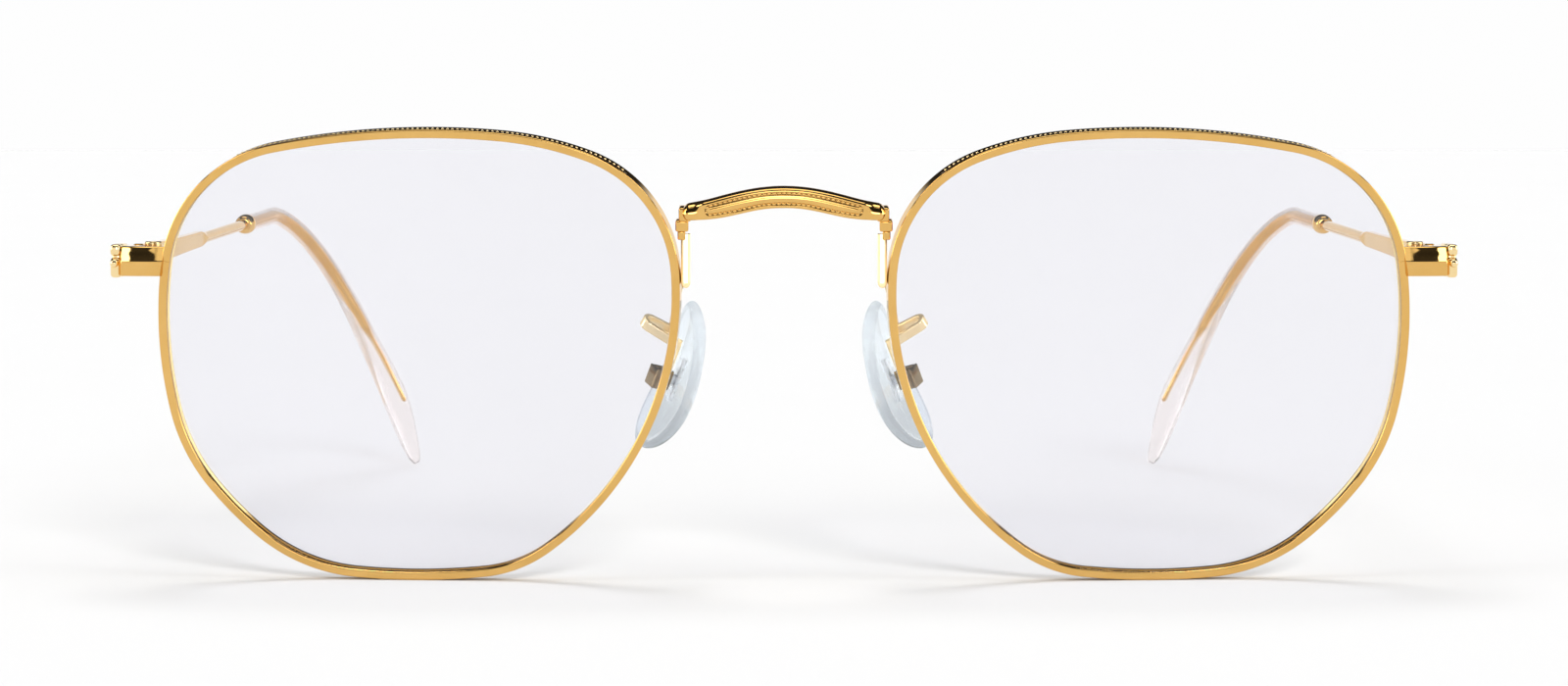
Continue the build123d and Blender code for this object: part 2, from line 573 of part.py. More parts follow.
# foot strip on the rim, a flat strip back from it, the flat loop behind the lens
# and the end that drops on the clip
foot = front_plane.from_local_coords(Vector(-9.95, -1.7, -1.7))
back_way = Vector(-1.55, 7.34, 0).normalized()
riser_plane = Plane(origin=(foot.X, foot.Y, 0), x_dir=back_way, z_dir=back_way.cross(Vector(0, 0, 1)))
loop_a = Vector(-11.12, FRONT_Y + 7.85, 24.5)
loop_u = Vector(-0.849, 0, 0.529).normalized()
loop_w = Vector(0.226, 0.905, 0.362).normalized()
loop_plane = Plane(origin=loop_a, x_dir=loop_u, z_dir=loop_u.cross(loop_w))
with BuildPart() as pad_arm_right:
    with BuildSketch(front_plane.offset(-1.05)):
        with BuildLine():
            Polyline((-11.4, 2.6), (-9.5, 2.6), (-9.42, -2.2), (-9.75, -2.75), (-10.6, -2.75), (-11.0, -1.5), close=True)
        make_face()
    extrude(amount=-1.0)
    add(rim_envelope.part, mode=Mode.SUBTRACT)
    with BuildSketch(riser_plane):
        with BuildLine():
            Polyline((-0.1, 32.0), (2.4, 31.5), (7.9, 26.55), (7.9, 25.35), (7.1, 25.35), (2.0, 30.5), (-0.1, 31.0), close=True)
        make_face()
    extrude(amount=0.275, both=True)
    with BuildSketch(loop_plane):
        h = ARM_THICK / 2
        with BuildLine():
            Line((-0.65, -h), (3.2, -h))
            ThreePointArc((3.2, -h), (3.95 + h, 0.75), (3.2, 1.5 + h))
            Line((3.2, 1.5 + h), (0.75, 1.95 + h))
            Line((0.75, 1.95 + h), (0.75, 1.95 - h))
            Line((0.75, 1.95 - h), (3.2, 1.5 - h))
            ThreePointArc((3.2, 1.5 - h), (3.95 - h, 0.75), (3.2, h))
            Line((3.2, h), (-0.65, h))
            Line((-0.65, h), (-0.65, -h))
        make_face()
    extrude(amount=ARM_HIGH / 2, both=True)
    with Locations(pad_plane):
        with Locations((-0.70, (PIVOT_K + 1.05 + 1.52) * k, -1.95)):
            Box(0.6, 3.04, 0.6)
pad_arm_right.part.label = "pad_arm_right"

# --- the left-hand pieces ----------------------------------------------------
with BuildPart() as rim_left:
    mirror(rim_right.part, about=Plane.YZ)
rim_left.part.label = "rim_left"

with BuildPart() as lens_left:
    mirror(lens_right.part, about=Plane.YZ)
lens_left.part.label = "lens_left"

with BuildPart() as endpiece_left:
    mirror(endpiece_right.part, about=Plane.YZ)
endpiece_left.part.label = "endpiece_left"

with BuildPart() as endpiece_plate_left:
    mirror(endpiece_plate_right.part, about=Plane.YZ)
endpiece_plate_left.part.label = "endpiece_plate_left"

with BuildPart() as endpiece_stud_left:
    mirror(endpiece_stud_right.part, about=Plane.YZ)
endpiece_stud_left.part.label = "endpiece_stud_left"

with BuildPart() as closing_block_upper_left:
    mirror(closing_block_upper_right.part, about=Plane.YZ)
closing_block_upper_left.part.label = "closing_block_upper_left"

with BuildPart() as closing_block_lower_left:
    mirror(closing_block_lower_right.part, about=Plane.YZ)
closing_block_lower_left.part.label = "closing_block_lower_left"

with BuildPart() as rim_screw_left:
    mirror(rim_screw_right.part, about=Plane.YZ)
rim_screw_left.part.label = "rim_screw_left"

with BuildPart() as hinge_front_left:
    mirror(hinge_front_right.part, about=Plane.YZ)
hinge_front_left.part.label = "hinge_front_left"

with BuildPart() as hinge_temple_left:
    mirror(hinge_temple_right.part, about=Plane.YZ)
hinge_temple_left.part.label = "hinge_temple_left"

with BuildPart() as hinge_screw_left:
    mirror(hinge_screw_right.part, about=Plane.YZ)
hinge_screw_left.part.label = "hinge_screw_left"

with BuildPart() as temple_left:
    mirror(temple_right.part, about=Plane.YZ)
temple_left.part.label = "temple_left"

with BuildPart() as ferrule_left:
    mirror(ferrule_right.part, about=Plane.YZ)
ferrule_left.part.label = "ferrule_left"

with BuildPart() as temple_tip_left:
    mirror(temple_tip_right.part, about=Plane.YZ)
temple_tip_left.part.label = "temple_tip_left"

with BuildPart() as nose_pad_left:
    mirror(nose_pad_right.part, about=Plane.YZ)
nose_pad_left.part.label = "nose_pad_left"

with BuildPart() as pad_insert_left:
    mirror(pad_insert_right.part, about=Plane.YZ)
pad_insert_left.part.label = "pad_insert_left"

with BuildPart() as pad_box_left:
    mirror(pad_box_right.part, about=Plane.YZ)
pad_box_left.part.label = "pad_box_left"

with BuildPart() as pad_screw_left:
    mirror(pad_screw_right.part, about=Plane.YZ)
pad_screw_left.part.label = "pad_screw_left"

with BuildPart() as pad_arm_left:
    mirror(pad_arm_right.part, about=Plane.YZ)
pad_arm_left.part.label = "pad_arm_left"

for piece in (bridge,
              rim_right, lens_right, endpiece_right, endpiece_plate_right, endpiece_stud_right,
              closing_block_upper_right, closing_block_lower_right, rim_screw_right,
              hinge_front_right, hinge_temple_right, hinge_screw_right,
              temple_right, ferrule_right, temple_tip_right,
              nose_pad_right, pad_insert_right, pad_box_right, pad_screw_right, pad_arm_right,
              rim_left, lens_left, endpiece_left, endpiece_plate_left, endpiece_stud_left,
              closing_block_upper_left, closing_block_lower_left, rim_screw_left,
              hinge_front_left, hinge_temple_left, hinge_screw_left,
              temple_left, ferrule_left, temple_tip_left,
              nose_pad_left, pad_insert_left, pad_box_left, pad_screw_left, pad_arm_left):
    export_step(piece.part, "parts/" + piece.part.label + ".step")
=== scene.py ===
import bpy
import bmesh
import math
import numpy as np
from mathutils import Vector, Matrix


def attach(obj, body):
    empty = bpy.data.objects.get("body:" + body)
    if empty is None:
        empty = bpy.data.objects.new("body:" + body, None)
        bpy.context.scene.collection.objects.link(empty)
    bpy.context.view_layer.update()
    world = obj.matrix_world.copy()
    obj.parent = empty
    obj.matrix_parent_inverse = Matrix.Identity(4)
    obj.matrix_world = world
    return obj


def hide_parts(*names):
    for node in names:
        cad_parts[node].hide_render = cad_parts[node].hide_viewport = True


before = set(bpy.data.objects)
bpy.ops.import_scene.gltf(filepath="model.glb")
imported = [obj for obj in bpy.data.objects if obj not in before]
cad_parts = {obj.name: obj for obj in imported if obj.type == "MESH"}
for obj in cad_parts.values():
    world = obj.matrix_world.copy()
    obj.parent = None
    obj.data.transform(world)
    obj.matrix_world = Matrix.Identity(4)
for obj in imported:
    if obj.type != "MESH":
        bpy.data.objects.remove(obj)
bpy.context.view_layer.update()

# ---------------------------------------------------------------------------
# Hexagonal full-rim eyeglasses.  Geometry below is worked out in millimetres
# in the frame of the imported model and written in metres.  "right" and "left"
# are the wearer's, the right side being -X; left pieces are mirrored in X.
# ---------------------------------------------------------------------------
MM = 0.001
FRONT_Y, HINGE_Z = -64.47, 32.946
LEAN, WRAP = math.radians(9.5), math.radians(4.0)
NASAL_X = 10.0
RIM_FACE, RIM_DEPTH = 0.84, 2.1
HALF = RIM_FACE / 2


def vec(*a):
    return np.array(a, float)


def unit(a):
    a = np.asarray(a, float)
    return a / np.linalg.norm(a)


X = vec(1, 0, 0)
UP = vec(0, -math.sin(LEAN), math.cos(LEAN))
BACK = vec(0, math.cos(LEAN), math.sin(LEAN))
OUT_R = -math.cos(WRAP) * X + math.sin(WRAP) * BACK
BACK_R = math.sin(WRAP) * X + math.cos(WRAP) * BACK
RIM_O = vec(-NASAL_X, FRONT_Y, HINGE_Z)
FRONT_O = vec(0, FRONT_Y, HINGE_Z)


def rim_point(u, v, n):
    """Point of the right rim: u outwards, v up, n back from the front face."""
    return RIM_O + np.multiply.outer(u, OUT_R) + np.multiply.outer(v, UP) + np.multiply.outer(n, BACK_R)


def front_point(x, v, n):
    """Point of the leaning front plane: x to the wearer's left, v up, n back."""
    return FRONT_O + np.multiply.outer(x, X) + np.multiply.outer(v, UP) + np.multiply.outer(n, BACK)


# --- materials ---------------------------------------------------------------
def node_tree(name):
    m = bpy.data.materials.new(name)
    m.use_nodes = True
    t = m.node_tree
    t.nodes.clear()
    out = t.nodes.new("ShaderNodeOutputMaterial")
    out.location = (700, 0)
    return m, t, out


def new(t, kind, **inputs):
    n = t.nodes.new(kind)
    for k, v in inputs.items():
        n.inputs[k.replace("_", " ")].default_value = v
    return n


def noise(t, scale, detail=4.0, rough=0.55, stretch=None):
    co = t.nodes.new("ShaderNodeTexCoord")
    n = new(t, "ShaderNodeTexNoise", Scale=scale, Detail=detail, Roughness=rough)
    if stretch:
        mp = t.nodes.new("ShaderNodeMapping")
        mp.inputs["Scale"].default_value = stretch
        t.links.new(co.outputs["Object"], mp.inputs["Vector"])
        t.links.new(mp.outputs["Vector"], n.inputs["Vector"])
    else:
        t.links.new(co.outputs["Object"], n.inputs["Vector"])
    return n


def ramp(t, source, stops):
    r = t.nodes.new("ShaderNodeValToRGB")
    while len(r.color_ramp.elements) < len(stops):
        r.color_ramp.elements.new(0.5)
    for e, (p, c) in zip(r.color_ramp.elements, stops):
        e.position = p
        e.color = c if len(c) == 4 else (*c, 1)
    t.links.new(source, r.inputs["Fac"])
    return r


def span(t, source, lo, hi):
    m = new(t, "ShaderNodeMapRange")
    m.inputs["From Min"].default_value = 0.25
    m.inputs["From Max"].default_value = 0.75
    m.inputs["To Min"].default_value = lo
    m.inputs["To Max"].default_value = hi
    t.links.new(source, m.inputs["Value"])
    return m


def metal(name, light, deep, rough=(0.045, 0.10), bump=0.02, metallic=1.0):
    """Polished plated metal: the plating's hue drifts a little, with faint polishing lines."""
    m, t, out = node_tree(name)
    p = new(t, "ShaderNodeBsdfPrincipled", Metallic=metallic)
    p.inputs["Specular Tint"].default_value = (1.0, 0.96, 0.86, 1)
    drift = noise(t, 260.0, 3.0)
    col = ramp(t, drift.outputs["Fac"], [(0.30, deep), (0.70, light)])
    t.links.new(col.outputs["Color"], p.inputs["Base Color"])
    fine = noise(t, 2600.0, 5.0, 0.6, (1.0, 3.0, 0.6))
    r = span(t, fine.outputs["Fac"], *rough)
    t.links.new(r.outputs["Result"], p.inputs["Roughness"])
    b = new(t, "ShaderNodeBump", Strength=bump, Distance=0.00002)
    t.links.new(fine.outputs["Fac"], b.inputs["Height"])
    t.links.new(b.outputs["Normal"], p.inputs["Normal"])
    t.links.new(p.outputs["BSDF"], out.inputs["Surface"])
    return m


def clear(name, tint_a, tint_b, ior, rough=(0.0, 0.02), passes=(0.93, 0.93, 0.95), noise_scale=90.0, straight=0.0):
    """Clear moulded material that lets lamp light through to what is behind it."""
    m, t, out = node_tree(name)
    p = new(t, "ShaderNodeBsdfPrincipled", IOR=ior)
    p.inputs["Transmission Weight"].default_value = 1.0
    cloud = noise(t, noise_scale, 3.0)
    col = ramp(t, cloud.outputs["Fac"], [(0.30, tint_a), (0.70, tint_b)])
    t.links.new(col.outputs["Color"], p.inputs["Base Color"])
    r = span(t, cloud.outputs["Fac"], *rough)
    t.links.new(r.outputs["Result"], p.inputs["Roughness"])
    tr = new(t, "ShaderNodeBsdfTransparent")
    tr.inputs["Color"].default_value = (*passes, 1)
    lp = t.nodes.new("ShaderNodeLightPath")
    mix = t.nodes.new("ShaderNodeMixShader")
    either = t.nodes.new("ShaderNodeMath")
    either.operation = "MAXIMUM"
    t.links.new(lp.outputs["Is Shadow Ray"], either.inputs[0])
    t.links.new(lp.outputs["Is Diffuse Ray"], either.inputs[1])
    t.links.new(either.outputs[0], mix.inputs["Fac"])
    body = p.outputs["BSDF"]
    if straight > 0:
        soft_mix = new(t, "ShaderNodeMixShader")
        share = span(t, cloud.outputs["Fac"], straight - 0.05, straight + 0.05)
        through = t.nodes.new("ShaderNodeBsdfTransparent")
        t.links.new(col.outputs["Color"], through.inputs["Color"])
        t.links.new(share.outputs["Result"], soft_mix.inputs["Fac"])
        t.links.new(body, soft_mix.inputs[1])
        t.links.new(through.outputs["BSDF"], soft_mix.inputs[2])
        body = soft_mix.outputs["Shader"]
    t.links.new(body, mix.inputs[1])
    t.links.new(tr.outputs["BSDF"], mix.inputs[2])
    t.links.new(mix.outputs["Shader"], out.inputs["Surface"])
    return m


GOLD_LIGHT, GOLD_DEEP = (0.80, 0.49, 0.155), (0.745, 0.445, 0.130)
gold = metal("plated_gold", GOLD_LIGHT, GOLD_DEEP)
gold_satin = metal("plated_gold_inside", (0.80, 0.50, 0.165), (0.74, 0.45, 0.135), rough=(0.10, 0.20), bump=0.05)
# paler copy of the plated gold for the rim beads, side plate and stud: painted highlight
gold_painted_highlight = metal("plated_gold_painted_highlight", (0.94, 0.74, 0.40), (0.90, 0.68, 0.34))
# pad arm gold, paler and only partly metallic: painted light standing in for brighter reflections
arm_gold_painted_light = metal("arm_gold_painted_light", (0.97, 0.80, 0.48), (0.94, 0.74, 0.40), rough=(0.06, 0.14), metallic=0.65)
# the clip's gold darkened to brown: painted dark reflection, the plating itself is the same gold
clip_painted_dark_reflection = metal("gold_clip_painted_dark_reflection", (0.34, 0.25, 0.14), (0.22, 0.16, 0.09), rough=(0.03, 0.09), bump=0.04)
# dark gold for the bridge's bead track: painted shade in the recess and between the beads
gold_recess_painted_shade = metal("gold_with_painted_shade_in_the_recess", (0.26, 0.150, 0.048), (0.19, 0.105, 0.032), rough=(0.18, 0.30), bump=0.05)
screw_metal = metal("screw_gold", (0.74, 0.56, 0.30), (0.64, 0.47, 0.22), rough=(0.12, 0.24), bump=0.10)
glass = clear("lens_glass", (0.880, 0.878, 0.918), (0.894, 0.892, 0.934), 1.50, (0.0, 0.004), (0.88, 0.88, 0.905), 30.0)
acetate = clear("clear_acetate", (0.995, 0.955, 0.935), (1.0, 0.975, 0.960), 1.40, (0.03, 0.09), (0.93, 0.90, 0.88), 140.0, straight=0.58)
insert_steel = metal("satin_white_metal", (0.66, 0.67, 0.70), (0.54, 0.55, 0.58), rough=(0.22, 0.34), bump=0.12)


def painted_rim_reflection(name):
    """Lens edge faces: pale diffuse yellow higher up is a painted reflection of the rim, satin; darker polished gold
    along the bottom is a painted dark reflection.
    """
    m, t, out = node_tree(name)
    p = new(t, "ShaderNodeBsdfPrincipled")
    place = t.nodes.new("ShaderNodeTexCoord")
    axes = t.nodes.new("ShaderNodeSeparateXYZ")
    t.links.new(place.outputs["Object"], axes.inputs["Vector"])

    def by_height(low, high):
        part = t.nodes.new("ShaderNodeMapRange")
        part.inputs["From Min"].default_value = 0.0058
        part.inputs["From Max"].default_value = 0.0074
        part.inputs["To Min"].default_value = low
        part.inputs["To Max"].default_value = high
        t.links.new(axes.outputs["Z"], part.inputs["Value"])
        return part.outputs["Result"]

    drift = noise(t, 260.0, 3.0)
    # darker colour low down is a painted dark reflection, pale yellow higher up a painted reflection of the rim
    low = ramp(t, drift.outputs["Fac"], [(0.30, (0.60, 0.38, 0.12)), (0.70, (0.68, 0.44, 0.15))])
    high = ramp(t, drift.outputs["Fac"], [(0.30, (0.91, 0.69, 0.28)), (0.70, (0.96, 0.76, 0.34))])
    both_cols = t.nodes.new("ShaderNodeMixRGB")
    t.links.new(by_height(0.0, 1.0), both_cols.inputs["Fac"])
    t.links.new(low.outputs["Color"], both_cols.inputs["Color1"])
    t.links.new(high.outputs["Color"], both_cols.inputs["Color2"])
    t.links.new(both_cols.outputs["Color"], p.inputs["Base Color"])
    t.links.new(by_height(1.0, 0.20), p.inputs["Metallic"])
    t.links.new(by_height(0.07, 0.36), p.inputs["Roughness"])
    t.links.new(p.outputs["BSDF"], out.inputs["Surface"])
    return m


lens_edge_painted_reflection = painted_rim_reflection("lens_edge_painted_rim_reflection")
silicone = clear("clear_silicone", (0.905, 0.950, 0.990), (0.940, 0.975, 1.0), 1.38, (0.0, 0.03), (0.93, 0.95, 0.97), 220.0, straight=0.52)


# --- mesh helpers --------------------------------------------------------------
def add_mesh(name, verts, faces, material, body, flip=False, mirror=False, replaces=(), slot=None, sharp=None, second=None, second_from=0, second_to=0, second_faces=None):
    verts = np.asarray(verts, float).copy()
    if mirror:
        verts[:, 0] *= -1
        flip = not flip
    me = bpy.data.meshes.new(name)
    if flip:
        faces = [tuple(reversed(f)) for f in faces]
    me.from_pydata([tuple(v) for v in verts * MM], [], [tuple(f) for f in faces])
    me.update()
    for poly in me.polygons:
        poly.use_smooth = True
    if sharp is not None:
        me.set_sharp_from_angle(angle=math.radians(sharp))
    me.materials.append(material)
    if second is not None:
        me.materials.append(second)
        for i in (range(second_from, second_to) if second_faces is None else second_faces):
            me.polygons[i].material_index = 1
    ob = bpy.data.objects.new(name, me)
    bpy.context.scene.collection.objects.link(ob)
    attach(ob, body)
    if replaces:
        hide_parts(*replaces)
    return ob


def grid_faces(rows, cols, closed_cols=True, closed_rows=False, base=0):
    f = []
    for i in range(rows if closed_rows else rows - 1):
        for j in range(cols if closed_cols else cols - 1):
            a, b = i % rows, (i + 1) % rows
            c, d = j % cols, (j + 1) % cols
            f.append((base + a * cols + c, base + a * cols + d, base + b * cols + d, base + b * cols + c))
    return f


def tube(rings, cap_start=True, cap_end=True):
    """Closed skin over a list of equal rings of points (rows x cols x 3)."""
    rings = np.asarray(rings, float)
    rows, cols = rings.shape[:2]
    verts = rings.reshape(-1, 3)
    faces = grid_faces(rows, cols)
    extra = []
    for cap, row in ((cap_start, 0), (cap_end, rows - 1)):
        if cap:
            c = len(verts) + len(extra)
            extra.append(rings[row].mean(0))
            for j in range(cols):
                a, b = row * cols + j, row * cols + (j + 1) % cols
                faces.append((c, b, a) if row == 0 else (c, a, b))
    if extra:
        verts = np.vstack([verts, extra])
    return verts, faces


def outward(verts, faces):
    """True if the closed skin's faces look outwards."""
    v = np.asarray(verts)
    tris = np.array([(f[0], f[k], f[k + 1]) for f in faces for k in range(1, len(f) - 1)])
    a, b, c = v[tris[:, 0]], v[tris[:, 1]], v[tris[:, 2]]
    return float(np.einsum("ij,ij->", a, np.cross(b, c))) > 0


def solid(name, verts, faces, material, body, **kw):
    return add_mesh(name, verts, faces, material, body, flip=not outward(verts, faces), **kw)


def both(name, verts, faces, material, body, replaces=(), **kw):
    """The right-hand piece and its mirror image."""
    b = {"front": ("front", "front"), "temple": ("temple_right", "temple_left"), "pad": ("pad_right", "pad_left")}[body]
    r = solid(name + "_right_skin", verts, faces, material, b[0],
              replaces=[n + "_right" for n in replaces], **kw)
    l = solid(name + "_left_skin", verts, faces, material, b[1], mirror=True,
              replaces=[n + "_left" for n in replaces], **kw)
    return r, l


def spline(points, n=None, at=None, closed=False):
    """Natural (or periodic) cubic spline through points, by chord length."""
    p = np.asarray(points, float)
    if closed:
        p = np.vstack([p, p[:1]])
    t = np.concatenate([[0], np.cumsum(np.linalg.norm(np.diff(p, axis=0), axis=1) ** 0.5)])
    m = len(p)
    h = np.diff(t)
    A = np.zeros((m, m))
    rhs = np.zeros((m, p.shape[1]))
    for i in range(1, m - 1):
        A[i, i - 1], A[i, i], A[i, i + 1] = h[i - 1], 2 * (h[i - 1] + h[i]), h[i]
        rhs[i] = 6 * ((p[i + 1] - p[i]) / h[i] - (p[i] - p[i - 1]) / h[i - 1])
    if closed:
        A[0, 0], A[0, -1] = 1, -1
        A[-1, 0], A[-1, 1] = 2 * h[0], h[0]
        A[-1, -2], A[-1, -1] = h[-1], 2 * h[-1]
        rhs[-1] = 6 * ((p[1] - p[0]) / h[0] - (p[-1] - p[-2]) / h[-1])
    else:
        A[0, 0] = A[-1, -1] = 1
    k = np.linalg.solve(A, rhs)
    if at is None:
        at = np.linspace(0, 1, n, endpoint=not closed)
    q = np.asarray(at) * t[-1]
    i = np.clip(np.searchsorted(t, q, side="right") - 1, 0, m - 2)
    a, b = (t[i + 1] - q)[:, None], (q - t[i])[:, None]
    hh = h[i][:, None]
    return (k[i] * a ** 3 + k[i + 1] * b ** 3) / (6 * hh) + (p[i] / hh - k[i] * hh / 6) * a + (p[i + 1] / hh - k[i + 1] * hh / 6) * b


def curve_y(points):
    """A smooth function y(x) through points, mirrored about x = 0."""
    pts = sorted(set([(-x, y) for x, y in points] + list(points)))
    xs = np.array([p[0] for p in pts])
    ys = np.array([p[1] for p in pts])
    m = len(xs)
    h = np.diff(xs)
    A = np.eye(m)
    r = np.zeros(m)
    for i in range(1, m - 1):
        A[i, i - 1], A[i, i], A[i, i + 1] = h[i - 1], 2 * (h[i - 1] + h[i]), h[i]
        r[i] = 6 * ((ys[i + 1] - ys[i]) / h[i] - (ys[i] - ys[i - 1]) / h[i - 1])
    k = np.linalg.solve(A, r)

    def f(x):
        x = np.asarray(x, float)
        i = np.clip(np.searchsorted(xs, x, side="right") - 1, 0, m - 2)
        a, b, hh = xs[i + 1] - x, x - xs[i], h[i]
        return (k[i] * a ** 3 + k[i + 1] * b ** 3) / (6 * hh) + (ys[i] / hh - k[i] * hh / 6) * a + (ys[i + 1] / hh - k[i + 1] * hh / 6) * b
    return f


def smooth(a, b, x):
    t = np.clip((np.asarray(x, float) - a) / (b - a), 0, 1)
    return t * t * (3 - 2 * t)


def ball(centre, ax, ay, az, rings=5, segs=10):
    """Small closed ellipsoid from three half-axis vectors."""
    v = [centre + az]
    for i in range(1, rings):
        p = math.pi * i / rings
        for j in range(segs):
            q = 2 * math.pi * j / segs
            v.append(centre + az * math.cos(p) + (ax * math.cos(q) + ay * math.sin(q)) * math.sin(p))
    v.append(centre - az)
    f = []
    for j in range(segs):
        f.append((0, 1 + j, 1 + (j + 1) % segs))
        last = 1 + (rings - 2) * segs
        f.append((len(v) - 1, last + (j + 1) % segs, last + j))
    for i in range(rings - 2):
        for j in range(segs):
            a, b = 1 + i * segs + j, 1 + i * segs + (j + 1) % segs
            f.append((a, a + segs, b + segs, b))
    return v, f


def balls(places):
    verts, faces = [], []
    for c, ax, ay, az in places:
        v, f = ball(c, ax, ay, az)
        faces += [tuple(i + len(verts) for i in q) for q in f]
        verts += v
    return np.array(verts), faces


# --- camera, at the photograph's viewing angle ----------------------------------
cam_data = bpy.data.cameras.new("camera")
cam_data.sensor_width = 36.0
cam_data.lens = 3570.0 / 1600.0 * 36.0
cam_data.clip_start, cam_data.clip_end = 0.01, 20.0
cam = bpy.data.objects.new("camera", cam_data)
bpy.context.scene.collection.objects.link(cam)
cam.location = vec(0, -414.47, 46.74) * MM
cam.rotation_euler = (math.radians(90 - 3.57), 0, 0)
bpy.context.scene.camera = cam

# --- rim: swept wire, groove, milgrain band ---------------------------------------
OUTLINE_START, OUTLINE_HEADING = (0.939, -1.034), math.radians(-93.5065)
OUTLINE = [
    (33.943, 56.421), (13.701, 30.221), (66.543, 11.413), (17.192, 36.581),
    (35.811, 10.834), (18.851, 26.508), (42.979, 20.629), (14.428, 69.332),
    (82.444, 15.961), (33.446, 15.808), (13.188, 66.292),
]


def outline_stations(step):
    """Centre-line points (u, v) and outward normals of the rim, evenly dense."""
    px, py = OUTLINE_START
    h = OUTLINE_HEADING
    uv, nn = [], []
    for r, turn in OUTLINE:
        a = math.radians(turn)
        cx, cy = px - r * math.sin(h), py + r * math.cos(h)
        k = max(4, int(round(r * a / step)))
        for i in range(k):
            g = h + a * i / k
            uv.append((cx + r * math.sin(g), cy - r * math.cos(g)))
            nn.append((math.sin(g), -math.cos(g)))
        px, py, h = cx + r * math.sin(h + a), cy - r * math.cos(h + a), h + a
    return np.array(uv), np.array(nn)


uv, nn = outline_stations(0.30)
# start and end at the slit on the temporal side
SLIT_V = -0.62
i0 = [i for i in range(len(uv)) if uv[i][0] > 45 and uv[i - 1][1] < SLIT_V <= uv[i][1]][0]
uv, nn = np.roll(uv, -i0, 0), np.roll(nn, -i0, 0)
f = (SLIT_V - uv[-1][1]) / (uv[0][1] - uv[-1][1])
cut = uv[-1] + (uv[0] - uv[-1]) * f
cut_n = unit(nn[-1] + (nn[0] - nn[-1]) * f)
along = vec(-cut_n[1], cut_n[0])
ahead = np.abs((uv - cut) @ along)
near_cut = np.where((ahead < 0.06) & (np.linalg.norm(uv - cut, axis=1) < 1.0))[0]
keep = np.ones(len(uv), bool)
keep[0] = False
keep[near_cut] = False
uv = np.vstack([[cut + along * 0.004], [cut + along * 0.03], uv[keep], [cut - along * 0.03], [cut - along * 0.004]])
nn = np.vstack([[cut_n], [cut_n], nn[keep], [cut_n], [cut_n]])


def rounded(points, radii, seg=4, support=0.03):
    """Polygon corners rounded, with a point close by on each side that keeps the flats flat."""
    out = []
    n = len(points)
    for i in range(n):
        p = vec(*points[i])
        a, b = vec(*points[i - 1]), vec(*points[(i + 1) % n])
        r = radii[i]
        if r <= 0:
            out.append(p)
            continue
        da, db = unit(a - p), unit(b - p)
        half = math.acos(np.clip(np.dot(da, db), -1, 1)) / 2
        cut_len = r / math.tan(half)
        centre = p + unit(da + db) * (r / math.sin(half))
        s, e = p + da * cut_len, p + db * cut_len
        out.append(s + da * support)
        for k in range(seg + 1):
            t = k / seg
            q = s + (e - s) * t
            out.append(centre + unit(q - centre) * r)
        out.append(e + db * support)
    return np.array(out)


def rim_section():
    """(g, n, band weight): g outwards from the wire's middle, n back from the face."""
    outer, inner = HALF, -HALF
    pts = rounded([(outer, 0), (outer, RIM_DEPTH), (inner, RIM_DEPTH), (inner, 1.5),
                   (inner + 0.26, 1.32), (inner + 0.26, 0.78), (inner, 0.60), (inner, 0)],
                  [0.13, 0.13, 0.12, 0.03, 0.04, 0.04, 0.03, 0.12])
    # first corner block is the front outer edge; the band sits between it and the next block
    k = 7
    band = [(0.42, 0.0), (0.43, 0.0), (0.47, 0.4), (0.52, 0.5), (0.56, 0.5), (0.61, 0.4), (0.66, -0.5), (0.71, -0.6),
            (1.05, -0.6), (1.37, -0.6), (1.45, -0.5), (1.53, -0.4), (1.61, -0.3), (1.69, -0.2), (1.77, -0.1), (1.85, 0.0), (1.86, 0.0)]
    sec = [(g, n, 0.0) for g, n in pts[:k]] + [(outer, n, w) for n, w in band] + [(g, n, 0.0) for g, n in pts[k:]]
    return np.array(sec)


sec = rim_section()
# how far a station is inside the decorated stretch over the top of the rim
band_on = []
for u, v in uv:
    line = 8.5 + (u - 4.66) / (45.7 - 4.66) * (9.5 - 8.5)
    band_on.append(smooth(0.0, 0.5, v - line))
band_on = np.array(band_on)
rings = []
for (u, v), (a, b), w in zip(uv, nn, band_on):
    g = sec[:, 0] + sec[:, 2] * 0.045 * w
    rings.append(rim_point(u + a * g, v + b * g, sec[:, 1]))
verts, faces = tube(rings)
both("rim", verts, faces, gold, "front", replaces=["rim"], slot="gold")

# fine beads along the top of the rim; their paler gold is a painted highlight
length = np.concatenate([[0], np.cumsum(np.linalg.norm(np.diff(uv, axis=0), axis=1))])
places = []
s = 0.0
while s < length[-1]:
    u, v = np.interp(s, length, uv[:, 0]), np.interp(s, length, uv[:, 1])
    a, b = np.interp(s, length, nn[:, 0]), np.interp(s, length, nn[:, 1])
    if np.interp(s, length, band_on) > 0.6:
        normal = OUT_R * a + UP * b
        tangent = OUT_R * -b + UP * a
        c = rim_point(u + a * (HALF - 0.06), v + b * (HALF - 0.06), 1.05)
        places.append((c, tangent * 0.155, BACK_R * 0.20, normal * 0.152))
    s += 0.50
verts, faces = balls(places)
both("rim_beads", verts, faces, gold_painted_highlight, "front", slot="gold")

# --- lens ---------------------------------------------------------------------------
LENS_U, LENS_V = 27.07, -10.31
LENS_R, APEX, THICK = 480.0, -0.22, 1.30


def lens_front(u, v):
    return APEX + LENS_R - np.sqrt(LENS_R ** 2 - (u - LENS_U) ** 2 - (v - LENS_V) ** 2)


luv, lnn = outline_stations(0.45)
edge = -HALF - 0.02
rings = []
cols = len(luv)


def lens_ring(g, fn):
    u, v = luv[:, 0] + lnn[:, 0] * g, luv[:, 1] + lnn[:, 1] * g
    return u, v, fn(u, v)


def scaled_ring(k, fn):
    u = LENS_U + (luv[:, 0] + lnn[:, 0] * edge - LENS_U) * k
    v = LENS_V + (luv[:, 1] + lnn[:, 1] * edge - LENS_V) * k
    return rim_point(u, v, fn(u, v))


